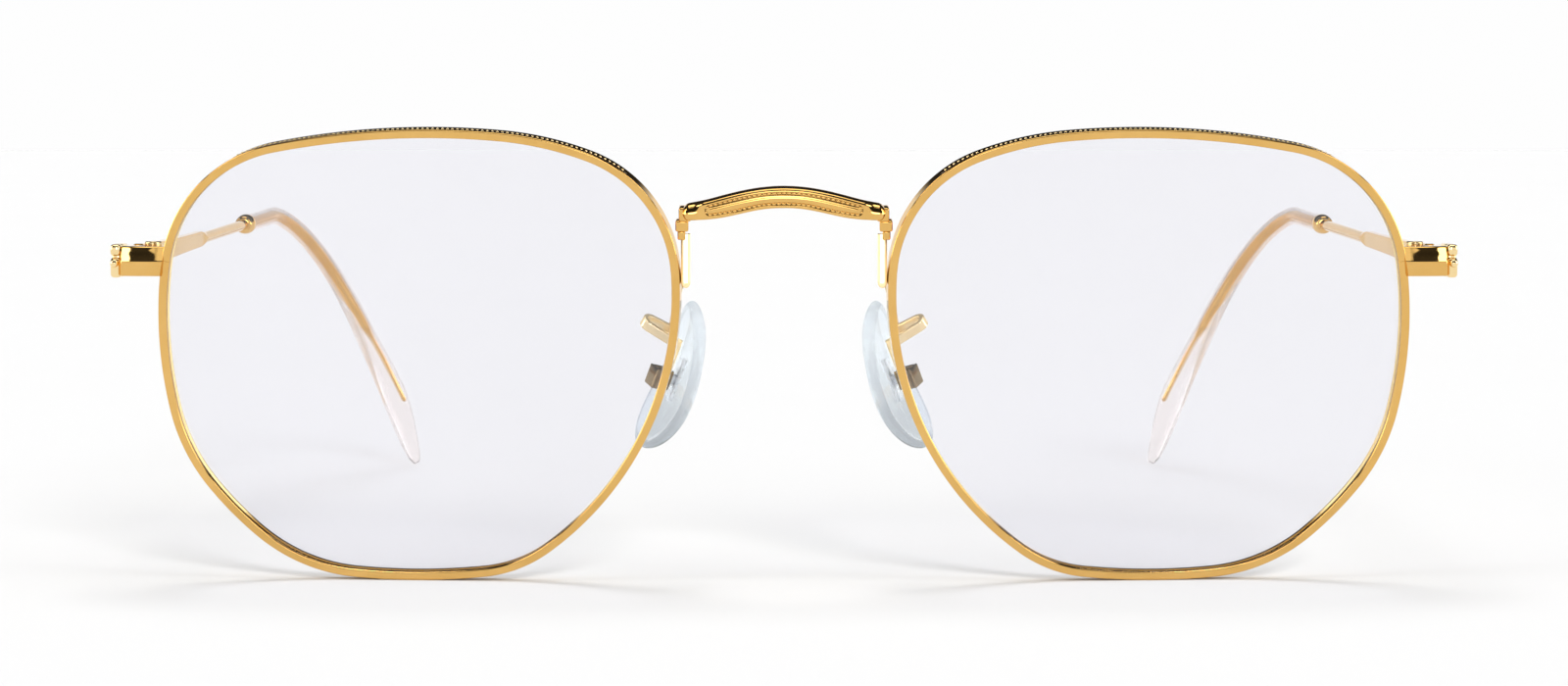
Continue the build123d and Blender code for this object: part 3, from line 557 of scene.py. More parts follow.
back_of = lambda u, v: lens_front(u, v) + THICK
for k in np.linspace(0.04, 0.985, 26):
    rings.append(scaled_ring(k, lens_front))
u, v, n = lens_ring(edge - 0.02, lens_front); rings.append(rim_point(u, v, n))
u, v, n = lens_ring(edge, lambda u, v: lens_front(u, v) + 0.02); rings.append(rim_point(u, v, n))
u, v, n = lens_ring(edge, lambda u, v: np.clip(lens_front(u, v) + 0.3, 0.69, 0.71)); rings.append(rim_point(u, v, n))
u, v, n = lens_ring(edge + 0.22, lambda u, v: 0.95 + 0 * u); rings.append(rim_point(u, v, n))
u, v, n = lens_ring(edge + 0.22, lambda u, v: 1.15 + 0 * u); rings.append(rim_point(u, v, n))
u, v, n = lens_ring(edge, lambda u, v: 1.41 + 0 * u); rings.append(rim_point(u, v, n))
u, v, n = lens_ring(edge, lambda u, v: np.maximum(back_of(u, v) - 0.02, 1.43)); rings.append(rim_point(u, v, n))
u, v, n = lens_ring(edge - 0.02, back_of); rings.append(rim_point(u, v, n))
for k in np.linspace(0.985, 0.04, 26):
    rings.append(scaled_ring(k, back_of))
verts, faces = tube(rings)
# the lens edge faces take a second material with a painted reflection of the rim
both("lens", verts, faces, glass, "front", replaces=["lens"], slot="lens_clear", sharp=30,
     second=lens_edge_painted_reflection, second_from=27 * cols, second_to=33 * cols)

# --- bridge -----------------------------------------------------------------------------
top_of = curve_y([(0, 7.65), (2.5, 7.48), (4.45, 7.12), (6.4, 6.63), (8.0, 6.21), (9.3, 5.95), (9.95, 5.83)])
low_of = curve_y([(0, 5.61), (1.5, 5.55), (3.5, 5.22), (5.2, 4.83), (6.5, 4.58), (8.4, 4.40), (9.5, 4.36), (9.95, 4.36)])
END = 10.15
in_top = curve_y([(7.3, 6.02), (5.0, 6.63), (2.5, 7.12), (0, 7.30)])
in_low = curve_y([(7.3, 4.86), (5.0, 5.22), (2.5, 5.78), (0, 5.96)])


def bridge_edges(x):
    """Lower and upper edge of the bridge at x, rounded at its two ends."""
    ax = abs(x)
    t, b = float(top_of(min(ax, 9.95))), float(low_of(min(ax, 9.95)))
    if ax > END - 0.62:
        m, hh = (t + b) / 2 - 0.02, (t - b) / 2
        k = max(0.0, 1 - ((ax - (END - 0.62)) / 0.62) ** 2) ** 0.5
        return m - hh * k, m + hh * k
    return b, t


def inlay(x, v):
    """Relief of the bridge face: recessed track for the beads and the crowned bar in it."""
    ax = np.abs(x)
    xx = np.minimum(ax, 7.3)
    cu, cl = in_top(xx), in_low(xx)
    m, hh = (cu + cl) / 2, (cu - cl) / 2
    w = (v - m) / hh
    e = np.sqrt(np.maximum(ax - 7.3, 0) ** 2 / 0.65 ** 2 + w ** 2)
    track = -0.085 * smooth(1.08, 0.86, e)
    bar = 0.080 * smooth(0.68, 0.46, e) + 0.060 * smooth(0.46, 0.0, e)
    return track + bar


face_t = np.linspace(0, 1, 110)
rings = []
xs = np.concatenate([-END + 0.62 * (1 - np.cos(np.linspace(0.02, math.pi / 2, 16))), np.linspace(-9.50, 9.50, 300),
                     END - 0.62 * (1 - np.cos(np.linspace(math.pi / 2, 0.02, 16)))])
for x in xs:
    b, t = bridge_edges(x)
    h = t - b
    v = b + h * face_t
    q = (v - (b + t) / 2) / (h / 2)
    near = np.minimum(1 - np.abs(q), 1) * h / 2
    edge_round = 0.30 * (1 - np.sqrt(np.clip(1 - np.clip(1 - near / 0.30, 0, 1) ** 2, 0, 1)))
    end_round = 0.35 * smooth(END - 0.55, END, abs(x)) ** 2
    crown = (0.05 + 0.20 * smooth(7.9, 9.0, abs(x))) * q ** 2
    lift = 0.24 * (v - (b + t) / 2) * smooth(8.05, 9.0, abs(x))
    n = -0.60 + edge_round + crown + end_round + lift - inlay(x, v)
    front = front_point(np.full_like(v, x), v, n)
    # top, back and bottom of the bar
    back_t = np.linspace(0, 1, 18)
    side = []
    depth = 1.30
    r = min(0.30, h / 2.2)
    n_top = n[-1]
    for k in np.linspace(0, 1, 6)[1:]:
        side.append((t, n_top + (depth - r - n_top) * k))
    for k in np.linspace(0, math.pi / 2, 6)[1:]:
        side.append((t - r + r * math.cos(k), depth - r + r * math.sin(k)))
    for k in np.linspace(0, 1, 6)[1:]:
        side.append((t - r + (b - t + 2 * r) * k, depth))
    for k in np.linspace(0, math.pi / 2, 6)[1:]:
        side.append((b + r - r * math.sin(k), depth - r + r * math.cos(k)))
    for k in np.linspace(0, 1, 6)[1:-1]:
        side.append((b, depth - r + (n[0] - depth + r) * k))
    side = np.array(side)
    rest = front_point(np.full(len(side), x), side[:, 0], side[:, 1])
    rings.append(np.vstack([front, rest]))
verts, faces = tube(rings)
per_ring = len(rings[0])
# faces of the bead track that take the dark gold, a painted shade in the recess
painted_shade_faces = []
for i in range(len(xs) - 1):
    x_mid = (xs[i] + xs[i + 1]) / 2
    cu_, cl_ = float(in_top(min(abs(x_mid), 7.3))), float(in_low(min(abs(x_mid), 7.3)))
    b_, t_ = bridge_edges(x_mid)
    v_mid = b_ + (t_ - b_) * (face_t[:-1] + face_t[1:]) / 2
    e_mid = np.sqrt(max(abs(x_mid) - 7.3, 0) ** 2 / 0.65 ** 2 + ((v_mid - (cu_ + cl_) / 2) / ((cu_ - cl_) / 2)) ** 2)
    painted_shade_faces += [i * per_ring + j for j in np.where((e_mid > 0.70) & (e_mid < 0.95))[0]]
bridge = solid("bridge_bar", verts, faces, gold, "front", replaces=["bridge"], slot="gold", second=gold_recess_painted_shade, second_faces=[int(i) for i in painted_shade_faces])

# beads around the track
loop = []
for x in np.linspace(-7.3, 7.3, 400):
    cu, cl = float(in_top(abs(x))), float(in_low(abs(x)))
    loop.append((x, (cu + cl) / 2 + (cu - cl) / 2 * 0.80))
for a in np.linspace(math.pi / 2, -math.pi / 2, 40)[1:-1]:
    cu, cl = float(in_top(7.3)), float(in_low(7.3))
    loop.append((7.3 + 0.65 * 0.80 * math.cos(a), (cu + cl) / 2 + (cu - cl) / 2 * 0.80 * math.sin(a)))
for x in np.linspace(7.3, -7.3, 400):
    cu, cl = float(in_top(abs(x))), float(in_low(abs(x)))
    loop.append((x, (cu + cl) / 2 - (cu - cl) / 2 * 0.80))
for a in np.linspace(math.pi / 2, -math.pi / 2, 40)[1:-1]:
    cu, cl = float(in_top(7.3)), float(in_low(7.3))
    loop.append((-7.3 - 0.65 * 0.80 * math.cos(a), (cu + cl) / 2 - (cu - cl) / 2 * 0.80 * math.sin(a)))
loop = np.array(loop)
d = np.concatenate([[0], np.cumsum(np.linalg.norm(np.diff(np.vstack([loop, loop[:1]]), axis=0), axis=1))])
count = int(round(d[-1] / 0.50))
places = []
for i in range(count):
    s = d[-1] * i / count
    x, v = np.interp(s, d, np.append(loop[:, 0], loop[0, 0])), np.interp(s, d, np.append(loop[:, 1], loop[0, 1]))
    b, t = bridge_edges(x)
    q = (v - (b + t) / 2) / ((t - b) / 2)
    n = -0.60 + 0.05 * q * q + 0.085
    places.append((front_point(x, v, n), X * 0.215, UP * 0.15, BACK * 0.065))
verts, faces = balls(places)
solid("bridge_beads", verts, faces, gold, "front", slot="gold")


# small rounded blocks: a superellipsoid box between two corners of a local frame
def block(origin, ax, ay, az, size, r=0.22, seg=4):
    """Box with rounded edges: centre, three unit axes, full sizes."""
    bm = bmesh.new()
    bmesh.ops.create_cube(bm, size=1.0)
    for v in bm.verts:
        v.co = Vector((v.co.x * size[0], v.co.y * size[1], v.co.z * size[2]))
    bmesh.ops.bevel(bm, geom=bm.edges[:], offset=r, segments=seg, profile=0.5, affect="EDGES", clamp_overlap=True)
    bm.verts.ensure_lookup_table()
    verts = np.array([origin + ax * v.co.x + ay * v.co.y + az * v.co.z for v in bm.verts])
    faces = [tuple(v.index for v in f.verts) for f in bm.faces]
    bm.free()
    return verts, faces


def join(parts):
    verts, faces = [], []
    base = 0
    for v, f in parts:
        verts.append(v)
        faces += [tuple(i + base for i in q) for q in f]
        base += len(v)
    return np.vstack(verts), faces


# turned-back lugs between the bridge and the rims
parts = []
parts.append(block(front_point(-9.90, 4.80, 1.25), X, UP, BACK, (1.25, 1.40, 1.9), 0.22))
parts.append(block(front_point(-10.22, 3.58, 1.35), X, UP, BACK, (1.30, 1.12, 1.45), 0.18))
parts.append(block(front_point(-10.27, 2.62, 1.30), X, UP, BACK, (0.78, 0.92, 1.20), 0.16))
verts, faces = join(parts)
both("bridge_lug", verts, faces, gold, "front", slot="gold", sharp=40)

# --- endpiece: two-facet lug, round the corner and straight back ---------------------------
y0 = FRONT_Y + 3.35
CORNER_Y = y0 + 0.60
plan = np.vstack([spline([(-63.3, y0 + 0.0), (-63.9, y0 + 0.025), (-64.6, y0 + 0.075), (-65.3, y0 + 0.145), (-65.95, y0 + 0.25), (-66.45, y0 + 0.38), (-66.90, CORNER_Y - 0.05)], n=40),
                  [(-66.94 - 0.32 * math.sin(a), CORNER_Y + 0.29 - 0.31 * math.cos(a)) for a in np.linspace(0.15, math.pi / 2, 8)],
                  [(-67.27, CORNER_Y + 0.45), (-67.28, CORNER_Y + 0.7)]])
tail = np.array([(-67.29, y) for y in np.linspace(CORNER_Y + 1.1, FRONT_Y + 9.0 - 0.08, 16)] + [(-67.26, FRONT_Y + 9.0 - 0.02), (-67.19, FRONT_Y + 9.0)])
plan = np.vstack([plan, tail])
zs = []
R = 0.13
for k in np.linspace(0, math.pi / 2, 6):
    zs.append((-1.5 + R - R * math.cos(k), R - R * math.sin(k)))
zs += [(z, 0.0) for z in np.linspace(-1.5 + R + 0.03, -0.06, 6)] + [(-0.03, 0.0), (0.0, 0.0), (0.03, 0.0), (0.06, 0.0)]
zs += [(z, 0.0) for z in np.linspace(0.2, 1.5 - R - 0.03, 6)]
for k in np.linspace(math.pi / 2, 0, 6):
    zs.append((1.5 - R + R * math.cos(k), R - R * math.sin(k)))
outer_v = (uv + nn * HALF)


def rim_outer_x(z, y):
    """x of the right rim's outer wall at height z on the temporal side."""
    sel = outer_v[:, 0] > 40
    vs, us = outer_v[sel, 1], outer_v[sel, 0]
    o = np.argsort(vs)
    v = (z - HINGE_Z) / math.cos(LEAN) + 0.06
    u = np.interp(v, vs[o], us[o])
    return -NASAL_X - math.cos(WRAP) * u


lead = np.linspace(0, 1, 8)[:-1]
rings = []
inner_wall = []
tangent = np.gradient(plan, axis=0)
tangent /= np.linalg.norm(tangent, axis=1)[:, None]
normal2 = np.column_stack([tangent[:, 1], -tangent[:, 0]])
normal2 *= np.sign((normal2 @ vec(-0.7, -0.7)))[:, None]
for i in range(len(lead) + len(plan)):
    ring = []
    for z, inset in zs:
        Z = HINGE_Z + z
        if i < len(lead):
            xs_ = rim_outer_x(Z, y0) + 0.02
            x = xs_ + (-63.3 - xs_) * lead[i]
            y = y0
            n2 = vec(0, -1)
        else:
            x, y = plan[i - len(lead)]
            n2 = normal2[i - len(lead)]
        # upper facet leans back from the ridge, which stays straight to the corner
        back = 0.5 * (0.5 * z + 0.5 * math.sqrt(z * z + 0.0016)) if z > -0.3 else 0.0
        if z > 0:
            back += 0.030 * math.sin(2 * math.pi * z / 1.5) * float(smooth(-63.6, -64.6, x))
        if x > -66.91:
            y2 = y + back
        else:
            y2 = max(y + back * smooth(CORNER_Y + 1.3, CORNER_Y + 0.1, y), y)
        ring.append((x - n2[0] * inset, y2 - n2[1] * inset, Z))
    # top, inner wall and bottom close the section
    if i < len(lead):
        xi, yi = ring[len(ring) // 2][0], y0 + 1.2
    else:
        x, y = plan[i - len(lead)]
        xi = x + 1.28 * smooth(-64.0, -67.2, x)
        yi = max(y0 + 1.2, y) if x < -66.6 else y0 + 1.2
        yi = y0 + 1.2 + (y - y0 - 1.2) * smooth(y0 + 0.9, y0 + 1.9, y) if y > y0 + 0.9 else y0 + 1.2
    top = ring[-1]
    bot = ring[0]
    for z, k in ((1.5, 0.5), (1.5, 0.92), (1.42, 1.0), (0.7, 1.0), (-0.7, 1.0), (-1.42, 1.0), (-1.5, 0.92), (-1.5, 0.5)):
        src = top if z > 0 else bot
        ring.append((src[0] + (xi - src[0]) * k, src[1] + (yi - src[1]) * k, HINGE_Z + z))
    rings.append(np.array(ring))
verts, faces = tube(rings)
both("endpiece", verts, faces, gold, "front", replaces=["endpiece"], slot="gold", sharp=35)

# --- temple path -----------------------------------------------------------------------------
def heading(h, a):
    h, a = math.radians(h), math.radians(a)
    return vec(math.sin(h) * math.cos(a), math.cos(h) * math.cos(a), math.sin(a))


T0 = vec(-66.3, FRONT_Y + 5.0, HINGE_Z)
D0, D1, D2 = heading(0.71, 1.44), heading(12.92, -15.48), heading(52.0, -67.34)
R1, R2 = 23.09, 36.83
S1 = 90.63


def bend(p, a, b, r):
    turn = math.acos(np.clip(np.dot(a, b), -1, 1))
    e = unit(b - a * np.dot(a, b))
    return p + e * r, e, turn


C1, E1, A1 = bend(T0 + D0 * S1, D0, D1, R1)
P2 = C1 + (-E1 * math.cos(A1) + D0 * math.sin(A1)) * R1
C2, E2, A2 = bend(P2, D1, D2, R2)
P3 = C2 + (-E2 * math.cos(A2) + D1 * math.sin(A2)) * R2
S2 = S1 + R1 * A1
S3 = S2 + R2 * A2


def on_path(s):
    if s <= S1:
        return T0 + D0 * s, D0
    if s <= S2:
        a = (s - S1) / R1
        return C1 + (-E1 * math.cos(a) + D0 * math.sin(a)) * R1, D0 * math.cos(a) + E1 * math.sin(a)
    if s <= S3:
        a = (s - S2) / R2
        return C2 + (-E2 * math.cos(a) + D1 * math.sin(a)) * R2, D1 * math.cos(a) + E2 * math.sin(a)
    return P3 + D2 * (s - S3), D2


def section_frame(s):
    """Point, inward (thin) axis and upright axis of the temple at distance s."""
    p, d = on_path(s)
    thin = unit(np.cross(d, vec(0, 0, 1)))
    return p, thin, unit(np.cross(thin, d)), d


def superellipse(a, b, p, n=40):
    t = np.linspace(0, 2 * math.pi, n, endpoint=False)
    c, s = np.cos(t), np.sin(t)
    return np.sign(c) * np.abs(c) ** (2 / p) * a, np.sign(s) * np.abs(s) ** (2 / p) * b


BAR_S = [4.18, 8.0, 12.0, 18.0, 25.0, 32.0, 39.0]
BAR_H = [1.50, 1.34, 1.18, 1.06, 0.97, 0.91, 0.87]


def rounded_bar(hx_, hz_, r, n_edge=6):
    """Section of the bar: rounded rectangle, half sizes hx_, hz_."""
    return rounded([(hx_, -hz_), (hx_, hz_), (-hx_, hz_), (-hx_, -hz_)], [r] * 4, seg=n_edge, support=0.03)


rings = []
stations = np.concatenate([[4.18, 4.20, 4.26], np.linspace(4.5, 38.6, 60), np.linspace(39.0, 42.6, 24), np.linspace(43.0, 90, 60),
                           np.linspace(90.63, 124.6, 70), np.linspace(124.9, 128.4, 18), np.linspace(128.8, 137.6, 24), [137.8, 137.95]])
for s in stations:
    p, thin, upr, d = section_frame(s)
    k = float(smooth(39.4, 42.2, s))
    h = np.interp(s, BAR_S, BAR_H) * (1 - k) + 0.62 * k
    w = 0.50 * (1 - k) + 0.62 * k
    off = -0.10 * (1 - k)
    thinner = float(smooth(124.8, 128.2, s))
    p = p + upr * (0.18 * float(smooth(119.0, 125.0, s)) + 1.27 * max(0.0, s - 125.0) / 13.0)
    h, w = h + (0.30 - h) * thinner, w + (0.30 - w) * thinner
    r = min(0.20 + (w - 0.20) * k, w * 0.985, h * 0.985)
    if s < 4.3:
        cut_in = 0.06 * (1 - (s - 4.18) / 0.12)
        h, w = h - max(cut_in, 0), w - max(cut_in, 0)
    if s > 137.6:
        shrink = math.sqrt(max(0.02, 1 - ((s - 137.6) / 0.36) ** 2))
        h, w = h * shrink, w * shrink
    r = min(r, w * 0.985, h * 0.985)
    sup = 0.03 if k < 0.5 else 0.002
    prof = rounded([(w, -h), (w, h), (-w, h), (-w, -h)], [r] * 4, seg=6, support=min(sup, (w - r) * 0.4 + 1e-4))
    rings.append(np.array([p + thin * (x + off) + upr * z for x, z in prof]))
verts, faces = tube(rings)
both("temple", verts, faces, gold, "temple", replaces=["temple"], slot="gold", sharp=60)

# --- ferrule: turned collar with a small ring ahead of a rounded body ---------------------------
prof = [(69.20, 0.60), (69.20, 0.86), (69.26, 0.93), (69.34, 0.98), (69.46, 1.05), (69.62, 1.07), (69.74, 1.04), (69.82, 0.96),
        (69.86, 0.90), (69.92, 0.90), (69.98, 0.95), (70.10, 1.03), (70.35, 1.12), (70.70, 1.18), (71.05, 1.195), (71.4, 1.19), (71.75, 1.15),
        (72.05, 1.08), (72.28, 0.99), (72.38, 0.90), (72.40, 0.80), (72.40, 0.60)]
rings = []
p0, thin, upr, d = section_frame(70.0)
for s, r in prof:
    p = T0 + D0 * s
    rings.append(np.array([p + (thin * math.cos(a) + upr * math.sin(a)) * r for a in np.linspace(0, 2 * math.pi, 48, endpoint=False)]))
verts, faces = tube(rings)
both("ferrule", verts, faces, gold, "temple", replaces=["ferrule"], slot="gold", sharp=50)

# --- clear tip sleeve ------------------------------------------------------------------------------
TIP = np.array([
    (72.42, 2.00, 2.00, 0.0), (84.0, 2.10, 2.05, 0.0), (95.0, 2.20, 2.05, 0.0), (104.0, 2.35, 2.00, 0.0),
    (112.0, 2.55, 1.95, -0.05), (120.0, 2.90, 1.90, -0.20), (126.5, 3.25, 1.85, -0.30), (132.0, 3.65, 1.80, 0.0),
    (136.5, 3.85, 1.75, 0.35), (140.0, 3.55, 1.65, 0.25), (143.0, 2.80, 1.50, 0.05), (145.5, 1.90, 1.20, -0.05),
    (146.52, 0.98, 0.76, -0.02),
])
stations = np.concatenate([[72.42, 72.46, 72.54], np.linspace(72.7, 140, 150), np.linspace(140.3, 146.0, 30), np.linspace(146.1, 146.52, 8)])


def smooth_table(x, table, col):
    """Rounded interpolation of the section table."""
    offs = np.linspace(-2.2, 2.2, 9) * (1 if x < 143 else 0.12)
    return float(np.mean(np.interp(x + offs, table[:, 0], table[:, col])))


rings = []
for s in stations:
    p, thin, upr, d = section_frame(s)
    h, w = smooth_table(s, TIP, 1) / 2, smooth_table(s, TIP, 2) / 2
    p = p + upr * smooth_table(s, TIP, 3)
    if s < 72.6:
        k = 0.10 * (1 - (s - 72.42) / 0.18)
        h, w = h - max(k, 0), w - max(k, 0)
    x, z = superellipse(w, h, 2.0 + 0.5 * float(smooth(100, 130, s)) - 0.5 * float(smooth(136, 143, s)), 44)
    rings.append(np.array([p + thin * a + upr * b for a, b in zip(x, z)]))
verts, faces = tube(rings)
both("temple_tip", verts, faces, acetate, "temple", replaces=["temple_tip"], slot="tip_clear")

# --- nose pad ------------------------------------------------------------------------------------------
PAD_C = vec(-10.75, FRONT_Y + 10.2, 20.72)
PAD_R = 22.0
pad_down = unit(vec(-5.64, 2.3, -15.0))
wish = vec(math.cos(math.radians(26.0)), math.sin(math.radians(26.0)), 0)
pad_face = unit(wish - pad_down * np.dot(wish, pad_down))
pad_rear = unit(np.cross(pad_face, pad_down))
if pad_rear[1] < 0:
    pad_rear = -pad_rear
pad_top = -pad_down
L2, W2, T2 = 16.2 / 2, 7.8 / 2, 1.5 / 2
DROP = [(0.25, L2), (-1.9, L2 - 1.4), (-2.95, L2 - 5.0), (-W2, -L2 + 5.2), (-2.6, -L2 + 1.3), (0.1, -L2),
        (2.75, -L2 + 1.2), (W2, -L2 + 4.6), (3.0, L2 - 5.4), (2.1, L2 - 1.5)]


def pad_point(x, y, n):
    """Point of the bent pad: x back along its width, y up its length, n off its middle surface."""
    t = np.arcsin(np.asarray(y, float) / PAD_R)
    return (PAD_C - pad_face * PAD_R + np.multiply.outer(x, pad_rear)
            + np.multiply.outer((PAD_R + n) * np.sin(t), pad_top) + np.multiply.outer((PAD_R + n) * np.cos(t), pad_face))


def flat_point(x, y, n):
    return PAD_C + pad_rear * x + pad_top * y + pad_face * n


drop = spline(DROP, n=110, closed=True)
middle = vec(0.0, -0.3)


def pad_ring(k, n):
    p = middle + (drop - middle) * k
    return pad_point(p[:, 0], p[:, 1], n)


EDGE_R = 0.62
rings = []
for a in np.linspace(0.03, 1, 22):
    rings.append(pad_ring(a * (1 - EDGE_R / W2), T2 * (1 - 0.05 * a * a)))
for a in np.linspace(0, math.pi, 19)[1:-1]:
    rings.append(pad_ring(1 - EDGE_R / W2 * (1 - math.sin(a)), T2 * 0.95 * math.cos(a)))
for a in np.linspace(1, 0.03, 22):
    rings.append(pad_ring(a * (1 - EDGE_R / W2), -T2 * (1 - 0.05 * a * a)))
verts, faces = tube(rings)
both("nose_pad", verts, faces, silicone, "pad", replaces=["nose_pad"], slot="pad_clear")

PIVOT_N, PIVOT_K = -2.3, -0.4
# clip: two walls and an outer plate, edges softly broken; its dark brown gold is a painted dark reflection on the same
# gold plating
parts = [block(flat_point(k * 0.66, PIVOT_K, -2.14), pad_rear, pad_top, pad_face, (0.60, 2.1, 1.72), 0.16) for k in (-1, 1)]
parts.append(block(flat_point(0, PIVOT_K, -3.14), pad_rear, pad_top, pad_face, (1.92, 2.1, 0.28), 0.11))
verts, faces = join(parts)
both("pad_clip", verts, faces, clip_painted_dark_reflection, "front", replaces=["pad_box"], slot="gold", sharp=40)


def ribbon(centres, wide, thick_axes, high, thick, r=0.13):
    """Flat strip with rounded edges along a list of points."""
    out = []
    for c, w_, t_ in zip(centres, wide, thick_axes):
        prof = rounded([(thick / 2, -high / 2), (thick / 2, high / 2), (-thick / 2, high / 2), (-thick / 2, -high / 2)], [r] * 4, seg=4, support=0.02)
        out.append(np.array([c + t_ * a + w_ * b for a, b in prof]))
    return tube(out)


# the flat loop behind the lens
loop_a = vec(-11.12, FRONT_Y + 7.85, 24.5)
loop_u = unit(vec(-0.849, 0, 0.529))
loop_w = unit(vec(0.226, 0.905, 0.362))
loop_w = unit(loop_w - loop_u * np.dot(loop_u, loop_w))
loop_m = unit(np.cross(loop_u, loop_w))
flat = [(t, 0.0) for t in np.linspace(-0.60, 3.15, 16)]
flat += [(3.2 + 0.75 * math.sin(a), 0.75 - 0.75 * math.cos(a)) for a in np.linspace(0.0, math.pi, 22)]
flat += [(3.2 - 2.4 * t, 1.5 + 0.45 * t) for t in np.linspace(0.06, 1, 12)]
flat = np.array(flat)
tan2 = np.gradient(flat, axis=0)
tan2 /= np.linalg.norm(tan2, axis=1)[:, None]
centres = [loop_a + loop_u * a + loop_w * b for a, b in flat]
side_axes = [loop_u * -t[1] + loop_w * t[0] for t in tan2]
parts = [ribbon(centres, [loop_m] * len(flat), side_axes, 1.05, 0.50)]
# the strip from the foot back to the loop
foot = front_point(-9.95, -1.7, 1.7)
back_way = unit(vec(-1.55, 7.34, 0))
across = np.cross(back_way, vec(0, 0, 1))
rise = spline([(-0.1, 31.5), (1.2, 31.35), (2.6, 30.75), (4.6, 29.0), (6.6, 27.0), (7.5, 26.1)], n=30)
tan2 = np.gradient(rise, axis=0)
tan2 /= np.linalg.norm(tan2, axis=1)[:, None]
centres = [vec(foot[0], foot[1], 0) + back_way * a + vec(0, 0, 1) * b for a, b in rise]
wides = [back_way * -t[1] + vec(0, 0, 1) * t[0] for t in tan2]
parts.append(ribbon(centres, wides, [across] * len(rise), 0.95, 0.55))
# the end that drops on the clip
parts.append(block(flat_point(-0.70, PIVOT_K + 2.57, -1.95), pad_rear, pad_top, pad_face, (0.60, 3.04, 0.60), 0.16))
# foot strip on the nasal side of the rim: domed, its lower end rounded
rings = []
nas = outer_v[outer_v[:, 0] < 12]
order = np.argsort(nas[:, 1])
for v in np.concatenate([[-2.72, -2.70, -2.64, -2.54, -2.40], np.linspace(-2.2, 2.5, 30), [2.55, 2.58]]):
    left = -NASAL_X - math.cos(WRAP) * float(np.interp(v, nas[order, 1], nas[order, 0])) - 0.10
    right = -9.40
    end = math.sqrt(max(0.0, 1 - ((-2.2 - v) / 0.53) ** 2)) if v < -2.2 else 1.0
    end = max(end, 0.05)
    mid_x, half_x = (max(left, -10.35) + right) / 2, (right - max(left, -10.35)) / 2
    left2, right2 = mid_x - half_x * end, mid_x + half_x * end
    ring = []
    for q in -np.cos(np.linspace(0, math.pi, 17)):
        dome = 0.24 * max(0.0, 1 - q ** 4) ** 0.25 * (0.4 + 0.6 * end)
        ring.append(front_point((left2 + right2) / 2 + (right2 - left2) / 2 * q, v, 1.34 + 0.22 * v - dome))
    for q in np.linspace(1, -1, 9):
        ring.append(front_point((left2 + right2) / 2 + (right2 - left2) / 2 * q * 0.96, v, 2.04))
    rings.append(np.array(ring))
parts.append(tube(rings))
verts, faces = join([(v, f if outward(v, f) else [tuple(reversed(q)) for q in f]) for v, f in parts])
# the whole pad arm takes the paler, part-diffuse gold, a painted light
both("pad_arm", verts, faces, arm_gold_painted_light, "front", replaces=["pad_arm"], slot="gold", sharp=40)

# --- side plate at the outer end of the endpiece, with its slit, and the stud in its front edge ---------------
PLATE_Y0, PLATE_Y1 = FRONT_Y + 4.45, FRONT_Y + 9.0
parts = [block(vec(-67.80, (PLATE_Y0 + 0.75 + PLATE_Y1) / 2, HINGE_Z), vec(1, 0, 0), vec(0, 1, 0), vec(0, 0, 1),
               (1.05, PLATE_Y1 - PLATE_Y0 - 0.75, 3.38), 0.34, 5),
         block(vec(-67.80, PLATE_Y0 + 0.85, HINGE_Z + 1.10), vec(1, 0, 0), vec(0, 1, 0), vec(0, 0, 1), (1.05, 1.70, 1.18), 0.34, 6),
         block(vec(-67.80, PLATE_Y0 + 0.85, HINGE_Z - 0.67), vec(1, 0, 0), vec(0, 1, 0), vec(0, 0, 1), (1.05, 1.70, 2.04), 0.34, 6)]
verts, faces = join(parts)
# plate and stud in the paler gold copy: painted highlight
both("side_plate", verts, faces, gold_painted_highlight, "front", replaces=["endpiece_plate"], slot="gold", sharp=40)
v, f = ball(vec(-67.90, PLATE_Y0 + 0.12, HINGE_Z - 0.22), vec(0.46, 0, 0), vec(0, 0, 0.46), vec(0, -0.42, 0), rings=14, segs=28)
both("stud", np.array(v), f, gold_painted_highlight, "front", replaces=["endpiece_stud"], slot="gold")

# --- finish of the CAD nodes that stay visible --------------------------------------------------------------
for name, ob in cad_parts.items():
    if ob.hide_render:
        continue
    m = screw_metal if "screw" in name else insert_steel if "insert" in name else gold_satin if "block" in name else gold
    ob.data.materials.clear()
    ob.data.materials.append(m)
    soft = ob.modifiers.new("soft edges", "BEVEL")
    soft.width = 0.06 * MM
    soft.segments = 2
    soft.limit_method = "ANGLE"
    soft.angle_limit = math.radians(40)
    soft.harden_normals = False

# --- floor, backdrop light and lamp ------------------------------------------------------------------------
floor_mat, t, out = node_tree("floor_white")
p = new(t, "ShaderNodeBsdfDiffuse", Roughness=0.0)
n = noise(t, 6.0, 3.0)
c = ramp(t, n.outputs["Fac"], [(0.3, (0.606, 0.606, 0.606)), (0.7, (0.610, 0.610, 0.610))])
t.links.new(c.outputs["Color"], p.inputs["Color"])
t.links.new(p.outputs["BSDF"], out.inputs["Surface"])
me = bpy.data.meshes.new("floor")
me.from_pydata([(-6, -6, 0), (6, -6, 0), (6, 6, 0), (-6, 6, 0)], [], [(0, 1, 2, 3)])
me.materials.append(floor_mat)
floor = bpy.data.objects.new("floor", me)
bpy.context.scene.collection.objects.link(floor)

world = bpy.data.worlds.new("studio")
bpy.context.scene.world = world
world.use_nodes = True
t = world.node_tree
t.nodes.clear()
wout = t.nodes.new("ShaderNodeOutputWorld")
bg = t.nodes.new("ShaderNodeBackground")
co = t.nodes.new("ShaderNodeTexCoord")
sep = t.nodes.new("ShaderNodeSeparateXYZ")
t.links.new(co.outputs["Generated"], sep.inputs["Vector"])
